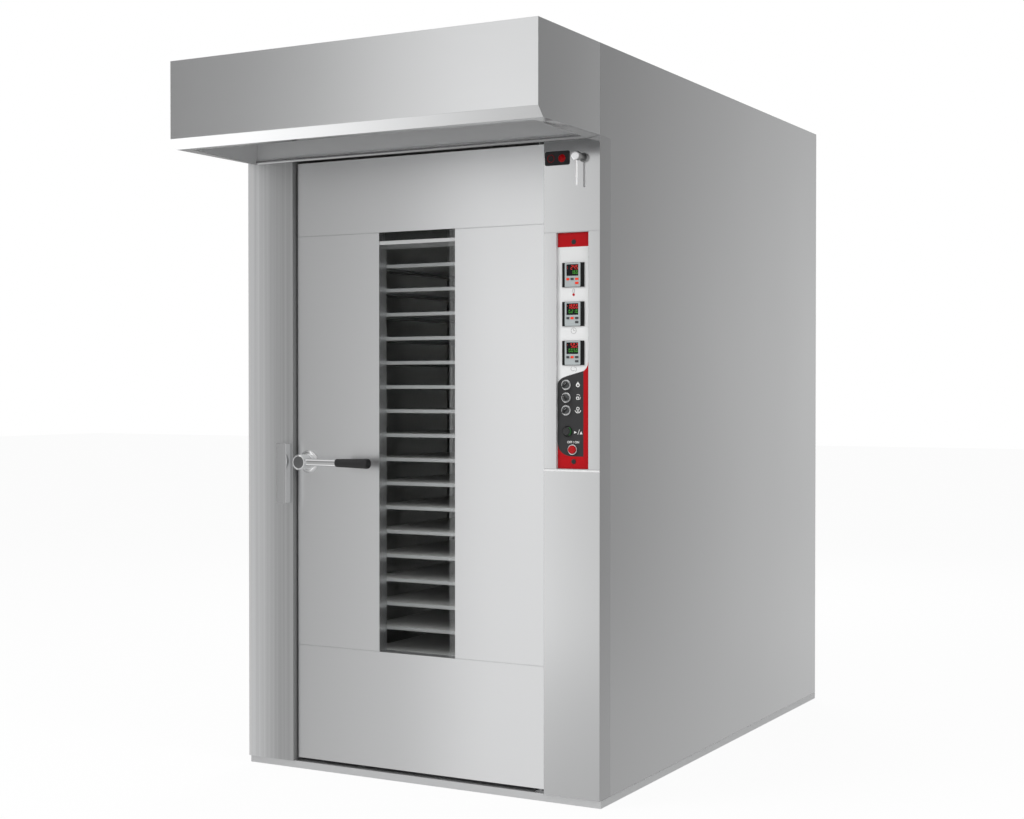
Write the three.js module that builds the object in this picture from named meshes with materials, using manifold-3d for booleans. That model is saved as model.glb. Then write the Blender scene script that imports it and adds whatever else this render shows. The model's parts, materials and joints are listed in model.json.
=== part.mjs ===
// Rotating rack oven: an insulated cabinet with a hood, a pivoted door and a tray rack that turns inside.
// Millimetres, +Z up. Every piece is laid out from the front face (y = 0), the middle (x = 0) and the floor
// (z = 0). The whole oven is then moved so that its origin is the centre of its footprint.
import * as THREE from "three";
import { mergeVertices } from "three/addons/utils/BufferGeometryUtils.js";
import Module from "manifold-3d";

const wasm = await Module();
wasm.setup();

// ---- Driving dimensions ----------------------------------------------------------------------------
// Cabinet
const cabinetWidth = 1315;
const cabinetDepth = 2030;
const cabinetHeight = 2300;
const plinthHeight = 24;
const plinthSetback = 10;
const sheet = 2;
const jambWidth = 184;
const columnWidth = 189;
const cornerDepth = 75;
const sideWallThickness = 107.5;
const deckHeight = 150;
const rearInset = 12;
const ceilingThickness = 100;
const headThickness = 60;
const serviceDepth = 273;
const plenumDepth = 440;
const backWallThickness = 100;
const frameDepth = 26;
const leftLand = 33.5;
const rightLand = 28.5;
const columnSeamWidth = 2;
const columnSeamDepth = 1;

// Hood
const hoodHeight = 276;
const hoodReach = 395;
const hoodChamfer = 30;
const hoodSideThickness = 42;
const hoodFrontThickness = 60;
const hoodTopThickness = 20;
const hoodBackThickness = 5;
const hoodBeadReach = 5;
const hoodBeadHeight = 7;

// Door
const doorGap = 7.5;
const doorSetback = 18;
const doorThickness = 90;
const doorBottomGap = 11;
const doorTopGap = 12;
const doorSeam = 2;
const gasketThickness = 4.5;
const gasketWidth = 12;
const gasketLand = 2;
const gasketClearance = 1.5;
const windowWidth = 285;
const windowHeadHeight = 242;
const windowFloorHeight = 412;
const windowSlotHeight = 24;
const linerBarHeight = 12;
const linerDepth = 73;
const linerTopSplay = 8.4;
const linerSplay = 20;
const linerWall = 8;
const glassThickness = 5;
const glassEdge = 6;
const pivotInset = 16;
const pivotRadius = 8;
const pivotDepth = 27;
const pivotPlateSize = 28;
const pivotPlateThickness = 5;
const pivotCollarRadius = 13;

// Door handle and keeper
const handleInset = 48;
const handleHeight = 1023.5;
const handleReach = 266;
const bossRadius = 25;
const bossLength = 55;
const bossEdge = 2;
const leverRadius = 12.5;
const gripLength = 126;
const gripRadiusInner = 13;
const gripRadiusOuter = 16.5;
const tangRadius = 6;
const rosetteRadius = 38;
const rosetteThickness = 10;
const rosetteBevel = 5;
const rosetteEdge = 1;
const spindleRadius = 8;
const spindleReach = 30;
const camThickness = 10;
const camWidth = 22;
const camEdgeGap = 2;
const camTurningRoom = 3;
const keeperWidth = 40;
const keeperDepth = 30;
const keeperLength = 200;
const keeperDrop = 39.5;
const keeperInset = 6.5;
const keeperCorner = 4;

// Control column
const panelWidth = 108;
const panelHeight = 716;
const panelDrop = 286;
const panelCentreInset = 92.5;
const panelRecess = 9;
const panelThickness = 2;
const panelLedge = 8;
const controllerSize = 74;
const controllerBodySize = 68;
const controllerBodyDepth = 55;
const controllerProud = 4;
const controlBezelRadius = 15.5;
const controlBezelThickness = 4;
const selectorRadius = 11;
const selectorProud = 12;
const selectorOffset = 23.5;
const gripBarWidth = 6;
const gripBarHeight = 5;
const buttonRadius = 12;
const buttonTravel = 3;
const buttonProud = 11;
const buttonEdge = 2;
const startButtonOffset = 20;
const powerButtonOffset = 2;
const stemRadius = 5;
const stemLength = 14;

// Steps down the faceplate from its top edge, each as a share of its height.
const controllerStart = 0.17947;
const controllerStep = 0.1648;
const selectorStart = 0.13478;
const selectorStep = 0.05377;
const startButtonStep = 0.08939;
const powerButtonStep = 0.07682;

// Indicator and damper
const indicatorWidth = 84;
const indicatorHeight = 43;
const indicatorThickness = 2;
const indicatorCorner = 6;
const indicatorInset = 4;
const indicatorDrop = 60.5;
const damperInset = 65;
const damperDrop = 61;
const damperCapRadius = 14;
const damperCapLength = 20;
const damperCapEdge = 2;
const damperStandOff = 37;
const damperSpindleRadius = 7;
const damperRodRadius = 3.2;
const damperRodReach = 89;
const damperSpindleReach = 12;

// Rack, trays and drive
const rackForwardShift = 25;
const trayWallGap = 150;
const trayDepth = 600;
const trayEdge = 12;
const traySheet = 1.5;
const trayCount = 16;
const lowestTrayHeight = 431;
const topTrayDrop = 223;
const postSize = 25;
const trayClearance = 3;
const railReach = 20;
const railThickness = 3;
const rackHeadroom = 145;
const rackBaseHeight = 155;
const rackFloorGap = 6;
const castorRadius = 45;
const castorWidth = 26;
const castorInset = 37.5;
const castorSetback = 50;
const castorPlateSize = 44;
const castorPlateThickness = 6;
const castorCheekWidth = 28;
const castorCheekThickness = 4;
const castorCheekDrop = 12;
const hookPlateThickness = 12;
const hookPlateWidth = 80;
const hookHeadroom = 100;
const hookPinRadius = 9;
const hookPlateMargin = 22.5;
const forkHeadHeight = 18;
const forkTineDrop = 18;
const yokeRadius = 38;
const shaftRadius = 20;
const shaftClearance = 2;
const gearboxLength = 200;
const gearboxWidth = 140;
const gearboxHeight = 110;
const gearboxSocket = 70;
const driveMotorRadius = 52;
const driveMotorLength = 190;

// Heating and air
const diffuserThickness = 3;
const diffuserSlotCount = 14;
const diffuserSlotWidth = 260;
const diffuserSlotHeight = 16;
const heaterTubeCount = 9;
const heaterTubePitch = 110;
const heaterTubeRadius = 8;
const heaterHeaderSize = 30;
const heaterBottomHeight = 260;
const heaterHeadroom = 250;
const heaterDistance = 110;
const fanRadius = 200;
const fanInletRadius = 124;
const fanBladeStart = 64;
const fanWidth = 100;
const fanSheet = 4;
const fanBladeCount = 10;
const fanHubRadius = 32;
const fanShaftRadius = 12;
const fanDistance = 60;
const fanMotorRadius = 95;
const fanMotorLength = 200;
const fanMotorFlange = 230;
const fanMotorFlangeThickness = 12;
const fanMotorSocket = 60;
const rearSlotCount = 12;
const rearSlotWidth = 320;
const rearSlotHeight = 10;
const rearSlotPitch = 26;
const supplyHoleRadius = 20;

// Clearances
const runningGap = 0.3;
const seatGap = 0.3;

// How far one shape runs into another that it is joined to, or past a face that it cuts.
const overlap = 1;

// Places are rounded to this many steps in a millimetre, so that faces meant to lie together do.
const roundingSteps = 1000;

// ---- Places worked out from the dimensions ---------------------------------------------------------
const left = -cabinetWidth / 2;
const right = cabinetWidth / 2;
const openingLeft = left + jambWidth;
const openingRight = right - columnWidth;
const chamberRight = right - sideWallThickness;
const chamberLeft = -chamberRight;
const frontTop = cabinetHeight - hoodHeight;
const doorLeft = openingLeft + doorGap;
const doorRight = openingRight - doorGap;
const doorBottom = plinthHeight + doorBottomGap;
const doorTop = frontTop - doorTopGap;
const doorBack = doorSetback + doorThickness;
const casingFront = doorSetback + sheet;
const frameFront = doorBack + gasketThickness + gasketClearance;
const chamberFront = frameFront + frameDepth;
const rearSkinBack = cabinetDepth - rearInset;
const rearSkinFront = rearSkinBack - sheet;
const backWallBack = rearSkinFront - serviceDepth;
const backWallFront = backWallBack - backWallThickness;
const plenumFront = backWallFront - plenumDepth;
const diffuserFront = plenumFront - diffuserThickness;
const ceilingTop = cabinetHeight - deckHeight;
const ceilingBottom = ceilingTop - ceilingThickness;
const landLeft = openingLeft + leftLand;
const landRight = openingRight - rightLand;
const windowHalf = windowWidth / 2;
const windowTop = doorTop - windowHeadHeight;
const linerTop = windowTop - windowSlotHeight;
const linerBack = casingFront + linerDepth;
const apertureHalf = windowHalf + linerSplay + linerWall;
const apertureBottom = windowFloorHeight - linerBarHeight;
const apertureTop = windowTop + linerWall;
const glassHalf = apertureHalf + glassEdge;
const glassBottom = apertureBottom - glassEdge;
const glassTop = apertureTop + glassEdge;
const pivotX = doorRight - pivotInset;
const pivotY = doorSetback + pivotInset;
const handleX = doorLeft + handleInset;
const panelX = right - panelCentreInset;
const panelTop = frontTop - panelDrop;
const panelFloorHeight = panelTop - panelHeight;
const indicatorCentreHeight = frontTop - indicatorDrop;
const damperHeight = frontTop - damperDrop;
const rackCentreDepth = (chamberFront + diffuserFront) / 2 - rackForwardShift;
const trayHalf = chamberRight - trayWallGap;
const rackHalfWidth = trayHalf + trayClearance + postSize;
const rackTopHeight = ceilingBottom - rackHeadroom;
const trayPitch = (rackTopHeight - topTrayDrop - lowestTrayHeight) / (trayCount - 1);
const hookPinHeight = ceilingBottom - hookHeadroom;
const heaterTopHeight = ceilingBottom - heaterHeadroom;
const fanHeight = (plinthHeight + ceilingBottom) / 2;
const rackFront = rackCentreDepth - trayDepth / 2;
const rackBack = rackCentreDepth + trayDepth / 2;
const hookPlateTop = hookPinHeight + hookPlateMargin;
const wheelGround = plinthHeight + rackFloorGap;

// ---- Shape helpers ---------------------------------------------------------------------------------
function box(x0, x1, y0, y1, z0, z1) {
  const geometry = new THREE.BoxGeometry(x1 - x0, y1 - y0, z1 - z0);
  return geometry.translate((x0 + x1) / 2, (y0 + y1) / 2, (z0 + z1) / 2);
}

function extrude(points, length) {
  const shape = new THREE.Shape(points.map(([u, v]) => new THREE.Vector2(u, v)));
  return new THREE.ExtrudeGeometry(shape, { depth: length, bevelEnabled: false });
}

// An outline of (x, y) points, extruded upwards.
function columnOf(points, z0, z1) {
  return extrude(points, z1 - z0).translate(0, 0, z0);
}

// An outline of (x, z) points, extruded from front to back.
function slabOf(points, y0, y1) {
  return extrude(points, y1 - y0).rotateX(Math.PI / 2).translate(0, y1, 0);
}

// An outline of (y, z) points, extruded from left to right.
function beamOf(points, x0, x1) {
  const geometry = extrude(points, x1 - x0);
  return geometry.rotateX(Math.PI / 2).rotateZ(Math.PI / 2).translate(x0, 0, 0);
}

function roundedRectangle(u0, u1, v0, v1, radius, steps) {
  const points = [];
  const corners = [
    [u1 - radius, v1 - radius],
    [u0 + radius, v1 - radius],
    [u0 + radius, v0 + radius],
    [u1 - radius, v0 + radius],
  ];
  corners.forEach(([u, v], corner) => {
    for (let step = 0; step <= steps; step += 1) {
      const angle = (corner + step / steps) * Math.PI / 2;
      points.push([u + radius * Math.cos(angle), v + radius * Math.sin(angle)]);
    }
  });
  return points;
}

// A turned profile of (radius, distance) points about a line from front to back through (x, z).
function turnedY(profile, x, z, sides) {
  const points = profile.map(([radius, distance]) => new THREE.Vector2(radius, distance));
  return new THREE.LatheGeometry(points, sides).translate(x, 0, z);
}

function rodY(radius, x, z, y0, y1, sides) {
  const geometry = new THREE.CylinderGeometry(radius, radius, y1 - y0, sides);
  return geometry.translate(x, (y0 + y1) / 2, z);
}

function rodZ(radius, x, y, z0, z1, sides) {
  const geometry = new THREE.CylinderGeometry(radius, radius, z1 - z0, sides);
  return geometry.rotateX(Math.PI / 2).translate(x, y, (z0 + z1) / 2);
}

// A round bar from left to right, which may taper.
function rodX(radiusLeft, radiusRight, y, z, x0, x1, sides) {
  const geometry = new THREE.CylinderGeometry(radiusRight, radiusLeft, x1 - x0, sides);
  return geometry.rotateZ(-Math.PI / 2).translate((x0 + x1) / 2, y, z);
}

// A box whose back face differs from its front face, as a splayed opening has.
function splayedBox(front, back) {
  const geometry = new THREE.BoxGeometry(1, 1, 1);
  const place = geometry.attributes.position;
  for (let index = 0; index < place.count; index += 1) {
    const face = place.getY(index) < 0 ? front : back;
    const x = place.getX(index) < 0 ? face.x0 : face.x1;
    const z = place.getZ(index) < 0 ? face.z0 : face.z1;
    place.setXYZ(index, x, face.y, z);
  }
  return geometry;
}

function solidOf(geometry) {
  const bare = geometry.clone();
  bare.deleteAttribute("normal");
  bare.deleteAttribute("uv");
  const merged = mergeVertices(bare, 1e-3);
  const mesh = new wasm.Mesh({
    numProp: 3,
    vertProperties: Float32Array.from(merged.attributes.position.array, (value) => (
      Math.round(value * roundingSteps) / roundingSteps
    )),
    triVerts: new Uint32Array(merged.index.array),
  });
  return new wasm.Manifold(mesh);
}

function geometryOf(solid) {
  const mesh = solid.getMesh();
  const geometry = new THREE.BufferGeometry();
  geometry.setAttribute("position", new THREE.BufferAttribute(mesh.vertProperties, 3));
  geometry.setIndex(new THREE.BufferAttribute(mesh.triVerts, 1));
  geometry.computeVertexNormals();
  return geometry;
}

function join(...geometries) {
  return geometryOf(geometries.map(solidOf).reduce((whole, piece) => whole.add(piece)));
}

function cut(geometry, ...tools) {
  return geometryOf(tools.map(solidOf).reduce((whole, tool) => whole.subtract(tool), solidOf(geometry)));
}

// ---- Materials and assembly ------------------------------------------------------------------------
const oven = new THREE.Group();
oven.name = "rack_oven";

function finish(color, roughness, metalness) {
  return { color, roughness, metalness };
}

const brushedSteel = finish(0xb9bbbc, 0.38, 0.9);
const brightSteel = finish(0xd4d6d8, 0.3, 0.9);
const chamberSteel = finish(0x8d9092, 0.45, 0.85);
const chrome = finish(0xe2e4e6, 0.12, 1);
const darkPlastic = finish(0x2b2c2d, 0.55, 0);
const redPlastic = finish(0xb01418, 0.4, 0);
const panelFilm = finish(0xe9e9e7, 0.45, 0);
const castAluminium = finish(0x9ea1a3, 0.55, 0.7);
const rackSteel = finish(0xa4a6a7, 0.4, 0.9);
const trayAluminium = finish(0xb8babb, 0.42, 0.85);
const siliconeSeal = finish(0x3a3a3b, 0.7, 0);
const ovenGlass = finish(0x9fa6a8, 0.05, 0);
const heaterSheath = finish(0x5d5a58, 0.6, 0.6);

function add(name, geometry, look) {
  const mesh = new THREE.Mesh(geometry, new THREE.MeshStandardMaterial(look));
  mesh.name = name;
  oven.add(mesh);
}

// ---- Cabinet ---------------------------------------------------------------------------------------
function addBase() {
  add("base_frame", box(left, right, plinthSetback, cabinetDepth, 0, plinthHeight), brushedSteel);
}

// The left jamb carries the keeper and ends in the door frame's left land.
function addLeftJamb() {
  const outline = [
    [left, 0],
    [openingLeft, 0],
    [openingLeft, frameFront],
    [landLeft, frameFront],
    [landLeft, chamberFront],
    [chamberLeft, chamberFront],
    [chamberLeft, cornerDepth],
    [left, cornerDepth],
  ];
  add("left_jamb", columnOf(outline, plinthHeight, frontTop), brushedSteel);
}

// The control column is folded sheet, with the door frame's right land on its inner return.
function addControlColumn() {
  const outline = [
    [openingRight, 0],
    [right, 0],
    [right, cornerDepth],
    [right - sheet, cornerDepth],
    [right - sheet, sheet],
    [openingRight + sheet, sheet],
    [openingRight + sheet, frameFront],
    [chamberRight, frameFront],
    [chamberRight, chamberFront],
    [landRight, chamberFront],
    [landRight, frameFront],
    [openingRight, frameFront],
  ];
  const folded = columnOf(outline, plinthHeight, frontTop);
  const halfPanel = panelWidth / 2;
  const recessBack = panelRecess + panelThickness;
  const tray = box(
    panelX - halfPanel - sheet, panelX + halfPanel + sheet,
    sheet / 2, recessBack + sheet,
    panelFloorHeight - sheet, panelTop + sheet,
  );
  const recess = box(
    panelX - halfPanel, panelX + halfPanel,
    -overlap, recessBack,
    panelFloorHeight, panelTop,
  );
  const wiringWindow = box(
    panelX - halfPanel + panelLedge, panelX + halfPanel - panelLedge,
    panelRecess, recessBack + 2 * sheet,
    panelFloorHeight + panelLedge, panelTop - panelLedge,
  );
  const damperHole = rodY(
    damperSpindleRadius + runningGap, right - damperInset, damperHeight, -overlap, 2 * sheet, 24,
  );
  const seams = [panelFloorHeight - columnSeamWidth, panelTop].map((z) => box(
    openingRight - overlap, right + overlap, -overlap, columnSeamDepth, z, z + columnSeamWidth,
  ));
  add("control_column", cut(join(folded, tray), recess, wiringWindow, damperHole, ...seams), brushedSteel);
}

// Each side wall is an insulated slab under one outer skin that runs up to the top of the cabinet.
function addSideWall(name, side) {
  const spanOf = (xa, xb) => [Math.min(xa, xb), Math.max(xa, xb)];
  const [x0, x1] = spanOf(side * chamberRight, side * right);
  const [open0, open1] = spanOf(side * (chamberRight - overlap), side * (right - sheet));
  const below = plinthHeight - overlap;
  const above = cabinetHeight + overlap;
  const behind = cabinetDepth + overlap;
  const whole = box(x0, x1, 0, cabinetDepth, plinthHeight, cabinetHeight);
  const besideDoor = box(x0 - overlap, x1 + overlap, -overlap, cornerDepth, below, frontTop);
  const behindHood = box(open0, open1, -overlap, cornerDepth, below, above);
  const aboveCeiling = box(open0, open1, -overlap, behind, ceilingTop, above);
  const atRearPanel = box(open0, open1, rearSkinFront, behind, below, above);
  add(name, cut(whole, besideDoor, behindHood, aboveCeiling, atRearPanel), brushedSteel);
}

// The chamber's ceiling also closes the space over the door and ends in the frame's head land.
function addCeiling() {
  const outline = [
    [0, frontTop + sheet],
    [frameFront, frontTop + sheet],
    [frameFront, ceilingBottom - headThickness],
    [chamberFront, ceilingBottom - headThickness],
    [chamberFront, ceilingBottom],
    [rearSkinFront, ceilingBottom],
    [rearSkinFront, ceilingTop],
    [0, ceilingTop],
  ];
  const shaftHole = rodZ(
    shaftRadius + shaftClearance, 0, rackCentreDepth, ceilingBottom - overlap, ceilingTop + overlap, 32,
  );
  const head = box(left + sheet, right - sheet, 0, cornerDepth, frontTop + sheet, ceilingTop);
  const slab = join(beamOf(outline, chamberLeft, chamberRight), head);
  const notchSpans = [
    [chamberLeft - overlap, landLeft],
    [landRight, chamberRight + overlap],
  ];
  const notches = notchSpans.map(([x0, x1]) => box(
    x0, x1, frameFront - overlap, chamberFront + overlap, ceilingBottom - headThickness - overlap, frontTop,
  ));
  add("chamber_ceiling", cut(slab, shaftHole, ...notches), chamberSteel);
}

function addBackWall() {
  const wall = box(chamberLeft, chamberRight, backWallFront, backWallBack, plinthHeight, ceilingBottom);
  const hole = rodY(
    fanShaftRadius + shaftClearance, 0, fanHeight, backWallFront - overlap, backWallBack + overlap, 32,
  );
  add("chamber_back_wall", cut(wall, hole), chamberSteel);
}

function addAirDiffuser() {
  const slots = [];
  const span = ceilingBottom - plinthHeight;
  const pitch = span / (diffuserSlotCount + 1);
  for (const side of [-1, 1]) {
    const middle = side * chamberRight / 2;
    for (let row = 1; row <= diffuserSlotCount; row += 1) {
      const z = plinthHeight + row * pitch;
      slots.push(box(
        middle - diffuserSlotWidth / 2, middle + diffuserSlotWidth / 2,
        diffuserFront - overlap, plenumFront + overlap,
        z - diffuserSlotHeight / 2, z + diffuserSlotHeight / 2,
      ));
    }
  }
  const wall = box(chamberLeft, chamberRight, diffuserFront, plenumFront, plinthHeight, ceilingBottom);
  add("air_diffuser", cut(wall, ...slots), chamberSteel);
}

// The outer skin at the back, with cooling slots beside the fan motor and a hole for the supply cable.
function addRearPanel() {
  const holes = [];
  for (let row = 0; row < rearSlotCount; row += 1) {
    const z = fanHeight + (row - (rearSlotCount - 1) / 2) * rearSlotPitch;
    holes.push(box(
      -rearSlotWidth / 2, rearSlotWidth / 2,
      rearSkinFront - overlap, rearSkinBack + overlap,
      z - rearSlotHeight / 2, z + rearSlotHeight / 2,
    ));
  }
  const supply = rodY(
    supplyHoleRadius, chamberRight / 2, ceilingTop + ceilingThickness / 2,
    rearSkinFront - overlap, rearSkinBack + overlap, 24,
  );
  const skin = box(left + sheet, right - sheet, rearSkinFront, rearSkinBack, plinthHeight, cabinetHeight);
  add("rear_panel", cut(skin, supply, ...holes), brushedSteel);
}

// ---- Hood ------------------------------------------------------------------------------------------
function addHood() {
  const outline = [
    [-hoodReach, cabinetHeight],
    [-hoodReach, frontTop + hoodChamfer],
    [-hoodReach + hoodChamfer, frontTop],
    [0, frontTop],
    [0, cabinetHeight],
  ];
  const hollow = box(
    left + hoodSideThickness, right - hoodSideThickness,
    -hoodReach + hoodFrontThickness, -hoodBackThickness,
    frontTop - overlap, cabinetHeight - hoodTopThickness,
  );
  const beadFront = -hoodBackThickness - hoodBeadReach;
  const bead = beamOf([
    [-hoodBackThickness, frontTop],
    [-hoodBackThickness, frontTop + hoodBeadHeight + hoodBeadReach],
    [beadFront, frontTop + hoodBeadHeight],
    [beadFront, frontTop + hoodBeadReach],
  ], left + hoodSideThickness, right - hoodSideThickness);
  add("hood", join(cut(beamOf(outline, left, right), hollow), bead), brushedSteel);
}

// ---- Door ------------------------------------------------------------------------------------------
// The insulated casing has a stepped window opening, two pivot sockets and a pocket for the latch cam.
function addDoorCasing() {
  const whole = box(doorLeft, doorRight, casingFront, doorBack, doorBottom, doorTop);
  const aperture = box(
    -apertureHalf, apertureHalf, casingFront - overlap, doorBack + overlap, apertureBottom, apertureTop,
  );
  const rebate = box(-glassHalf, glassHalf, linerBack, doorBack + overlap, glassBottom, glassTop);
  const socketRadius = pivotRadius + runningGap;
  const lowerSocket = rodZ(
    socketRadius, pivotX, pivotY, doorBottom - overlap, doorBottom + pivotDepth + runningGap, 24,
  );
  const upperSocket = rodZ(
    socketRadius, pivotX, pivotY, doorTop - pivotDepth - runningGap, doorTop + overlap, 24,
  );
  const spindleHole = rodY(
    spindleRadius + runningGap, handleX, handleHeight, casingFront - overlap, casingFront + spindleReach, 24,
  );
  const pocketHalf = handleX - doorLeft + camTurningRoom;
  const camPocket = box(
    doorLeft - overlap, handleX + pocketHalf,
    casingFront + spindleReach - camTurningRoom, casingFront + spindleReach + camThickness + camTurningRoom,
    handleHeight - pocketHalf, handleHeight + pocketHalf,
  );
  const casing = cut(whole, aperture, rebate, lowerSocket, upperSocket, spindleHole, camPocket);
  add("door_casing", casing, brushedSteel);
}

function addDoorSheets() {
  const sheetOf = (x0, x1, z0, z1) => box(x0, x1, doorSetback, casingFront, z0, z1);
  const middleBottom = windowFloorHeight + doorSeam;
  const middleTop = windowTop - doorSeam;
  const spindleHole = rodY(
    spindleRadius + runningGap, handleX, handleHeight, doorSetback - overlap, casingFront + overlap, 24,
  );
  add("door_front_lower", sheetOf(doorLeft, doorRight, doorBottom, windowFloorHeight), brushedSteel);
  add("door_front_upper", sheetOf(doorLeft, doorRight, windowTop, doorTop), brushedSteel);
  const leftSheet = sheetOf(doorLeft, -windowHalf, middleBottom, middleTop);
  add("door_front_left", cut(leftSheet, spindleHole), brushedSteel);
  add("door_front_right", sheetOf(windowHalf, doorRight, middleBottom, middleTop), brushedSteel);
}

// The liner splays outwards from the front, below a slot that lets air out between the panes.
function addWindow() {
  const outer = box(
    -apertureHalf + seatGap, apertureHalf - seatGap,
    casingFront, linerBack,
    apertureBottom + seatGap, linerTop,
  );
  const front = {
    x0: -windowHalf, x1: windowHalf, y: casingFront - 0.01,
    z0: windowFloorHeight, z1: linerTop - linerBarHeight,
  };
  const back = {
    x0: -windowHalf - linerSplay, x1: windowHalf + linerSplay, y: linerBack + 0.01,
    z0: windowFloorHeight - linerBarHeight / 2, z1: linerTop - linerBarHeight - linerTopSplay,
  };
  add("window_liner", cut(outer, splayedBox(front, back)), brightSteel);
  const glass = box(
    -glassHalf + seatGap, glassHalf - seatGap,
    linerBack + seatGap, linerBack + seatGap + glassThickness,
    glassBottom + seatGap, glassTop - seatGap,
  );
  add("window_glass", glass, ovenGlass);
}

function addGasket() {
  const bottom = doorBottom + gasketLand;
  const top = doorTop - gasketLand;
  const gasketBack = doorBack + gasketThickness;
  const strip = box(landLeft - gasketWidth, landRight + gasketWidth, doorBack, gasketBack, bottom, top);
  const hole = box(
    landLeft, landRight, doorBack - overlap, gasketBack + overlap, bottom + gasketWidth, top - gasketWidth,
  );
  add("door_gasket", cut(strip, hole), siliconeSeal);
}

function addPivots() {
  const half = pivotPlateSize / 2;
  const plate = (z0, z1) => box(pivotX - half, pivotX + half, pivotY - half, pivotY + half, z0, z1);
  const lowerPlateTop = plinthHeight + pivotPlateThickness;
  add("lower_pivot", join(
    plate(plinthHeight, lowerPlateTop),
    rodZ(pivotCollarRadius, pivotX, pivotY, lowerPlateTop - overlap, doorBottom - runningGap, 24),
    rodZ(pivotRadius, pivotX, pivotY, lowerPlateTop - overlap, doorBottom + pivotDepth, 24),
  ), chrome);
  const headBottom = frontTop + sheet;
  const upperPlateBottom = headBottom - pivotPlateThickness;
  add("upper_pivot", join(
    plate(upperPlateBottom, headBottom),
    rodZ(pivotCollarRadius, pivotX, pivotY, doorTop + runningGap, upperPlateBottom + overlap, 24),
    rodZ(pivotRadius, pivotX, pivotY, doorTop - pivotDepth, upperPlateBottom + overlap, 24),
  ), chrome);
}

// ---- Handle ----------------------------------------------------------------------------------------
function addHandle() {
  const bossFront = doorSetback - rosetteThickness - seatGap - bossLength;
  const bossBack = bossFront + bossLength;
  const leverY = bossFront + leverRadius + bossRadius / 4;
  const gripStart = handleX + handleReach - gripLength;
  const gripEnd = handleX + handleReach;
  const tangEnd = gripEnd - gripLength / 8;
  const spindleEnd = casingFront + spindleReach + camThickness;
  const boss = turnedY([
    [0, bossFront],
    [bossRadius - bossEdge, bossFront],
    [bossRadius, bossFront + bossEdge],
    [bossRadius, bossBack],
    [0, bossBack],
  ], handleX, handleHeight, 32);
  const cam = box(
    doorLeft + camEdgeGap, handleX + camWidth / 2,
    spindleEnd - camThickness, spindleEnd,
    handleHeight - camWidth / 2, handleHeight + camWidth / 2,
  );
  add("handle_lever", join(
    boss,
    rodX(leverRadius, leverRadius, leverY, handleHeight, handleX, gripStart - seatGap, 24),
    rodX(tangRadius, tangRadius, leverY, handleHeight, gripStart - overlap, tangEnd, 16),
    rodY(spindleRadius, handleX, handleHeight, bossBack - overlap, spindleEnd, 24),
    cam,
  ), chrome);
  const grip = rodX(gripRadiusInner, gripRadiusOuter, leverY, handleHeight, gripStart, gripEnd, 24);
  const bore = rodX(
    tangRadius + seatGap, tangRadius + seatGap, leverY, handleHeight,
    gripStart - overlap, tangEnd + seatGap, 16,
  );
  add("handle_grip", cut(grip, bore), darkPlastic);
  const rosette = turnedY([
    [spindleRadius + runningGap, doorSetback - rosetteThickness],
    [rosetteRadius - rosetteBevel, doorSetback - rosetteThickness],
    [rosetteRadius - rosetteEdge, doorSetback - rosetteThickness + 3 * rosetteEdge],
    [rosetteRadius, doorSetback - rosetteEdge],
    [rosetteRadius, doorSetback],
    [spindleRadius + runningGap, doorSetback],
    [spindleRadius + runningGap, doorSetback - rosetteThickness],
  ], handleX, handleHeight, 40);
  add("handle_rosette", rosette, chrome);
}

function addKeeper() {
  const edge = openingLeft - keeperInset;
  const middle = handleHeight - keeperDrop;
  const face = roundedRectangle(
    edge - keeperWidth, edge, middle - keeperLength / 2, middle + keeperLength / 2, keeperCorner, 3,
  );
  add("latch_keeper", slabOf(face, -keeperDepth, 0), brightSteel);
}

// ---- Control panel ---------------------------------------------------------------------------------
const panelFront = panelRecess;
const panelBack = panelRecess + panelThickness;
const controllerShares = [0, 1, 2].map((index) => controllerStart + index * controllerStep);
const selectorShares = [0, 1, 2].map((index) => controllerShares[2] + selectorStart + index * selectorStep);
const startButtonShare = selectorShares[2] + startButtonStep;
const powerButtonShare = startButtonShare + powerButtonStep;
const heightAt = (share) => panelTop - share * panelHeight;
const controllerHeights = controllerShares.map(heightAt);
const selectorHeights = selectorShares.map(heightAt);
const startButtonHeight = heightAt(startButtonShare);
const powerButtonHeight = heightAt(powerButtonShare);
const selectorX = panelX - selectorOffset;
const startX = panelX - startButtonOffset;
const powerX = panelX - powerButtonOffset;

// The faceplate has a bezel round each selector and button, and a cut-out for each controller.
function addControlPanel() {
  const rounds = selectorHeights.map((z) => [selectorX, z, selectorRadius]);
  rounds.push([startX, startButtonHeight, buttonRadius]);
  rounds.push([powerX, powerButtonHeight, buttonRadius]);
  const halfWidth = panelWidth / 2 - seatGap;
  const plate = box(
    panelX - halfWidth, panelX + halfWidth,
    panelFront, panelBack,
    panelFloorHeight + seatGap, panelTop - seatGap,
  );
  const bezels = rounds.map(([x, z]) => rodY(
    controlBezelRadius, x, z, panelFront - controlBezelThickness, panelFront + overlap, 32,
  ));
  const wells = rounds.map(([x, z, radius]) => rodY(
    radius + runningGap, x, z, panelFront - controlBezelThickness - overlap, panelFront, 32,
  ));
  const stemHoles = rounds.map(([x, z]) => rodY(
    stemRadius + runningGap, x, z, panelFront - overlap, panelBack + overlap, 20,
  ));
  const half = controllerBodySize / 2 + seatGap;
  const cutouts = controllerHeights.map((z) => box(
    panelX - half, panelX + half, panelFront - overlap, panelBack + overlap, z - half, z + half,
  ));
  const panel = cut(join(plate, ...bezels), ...wells, ...stemHoles, ...cutouts);
  add("control_panel", panel, panelFilm);
}

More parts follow.
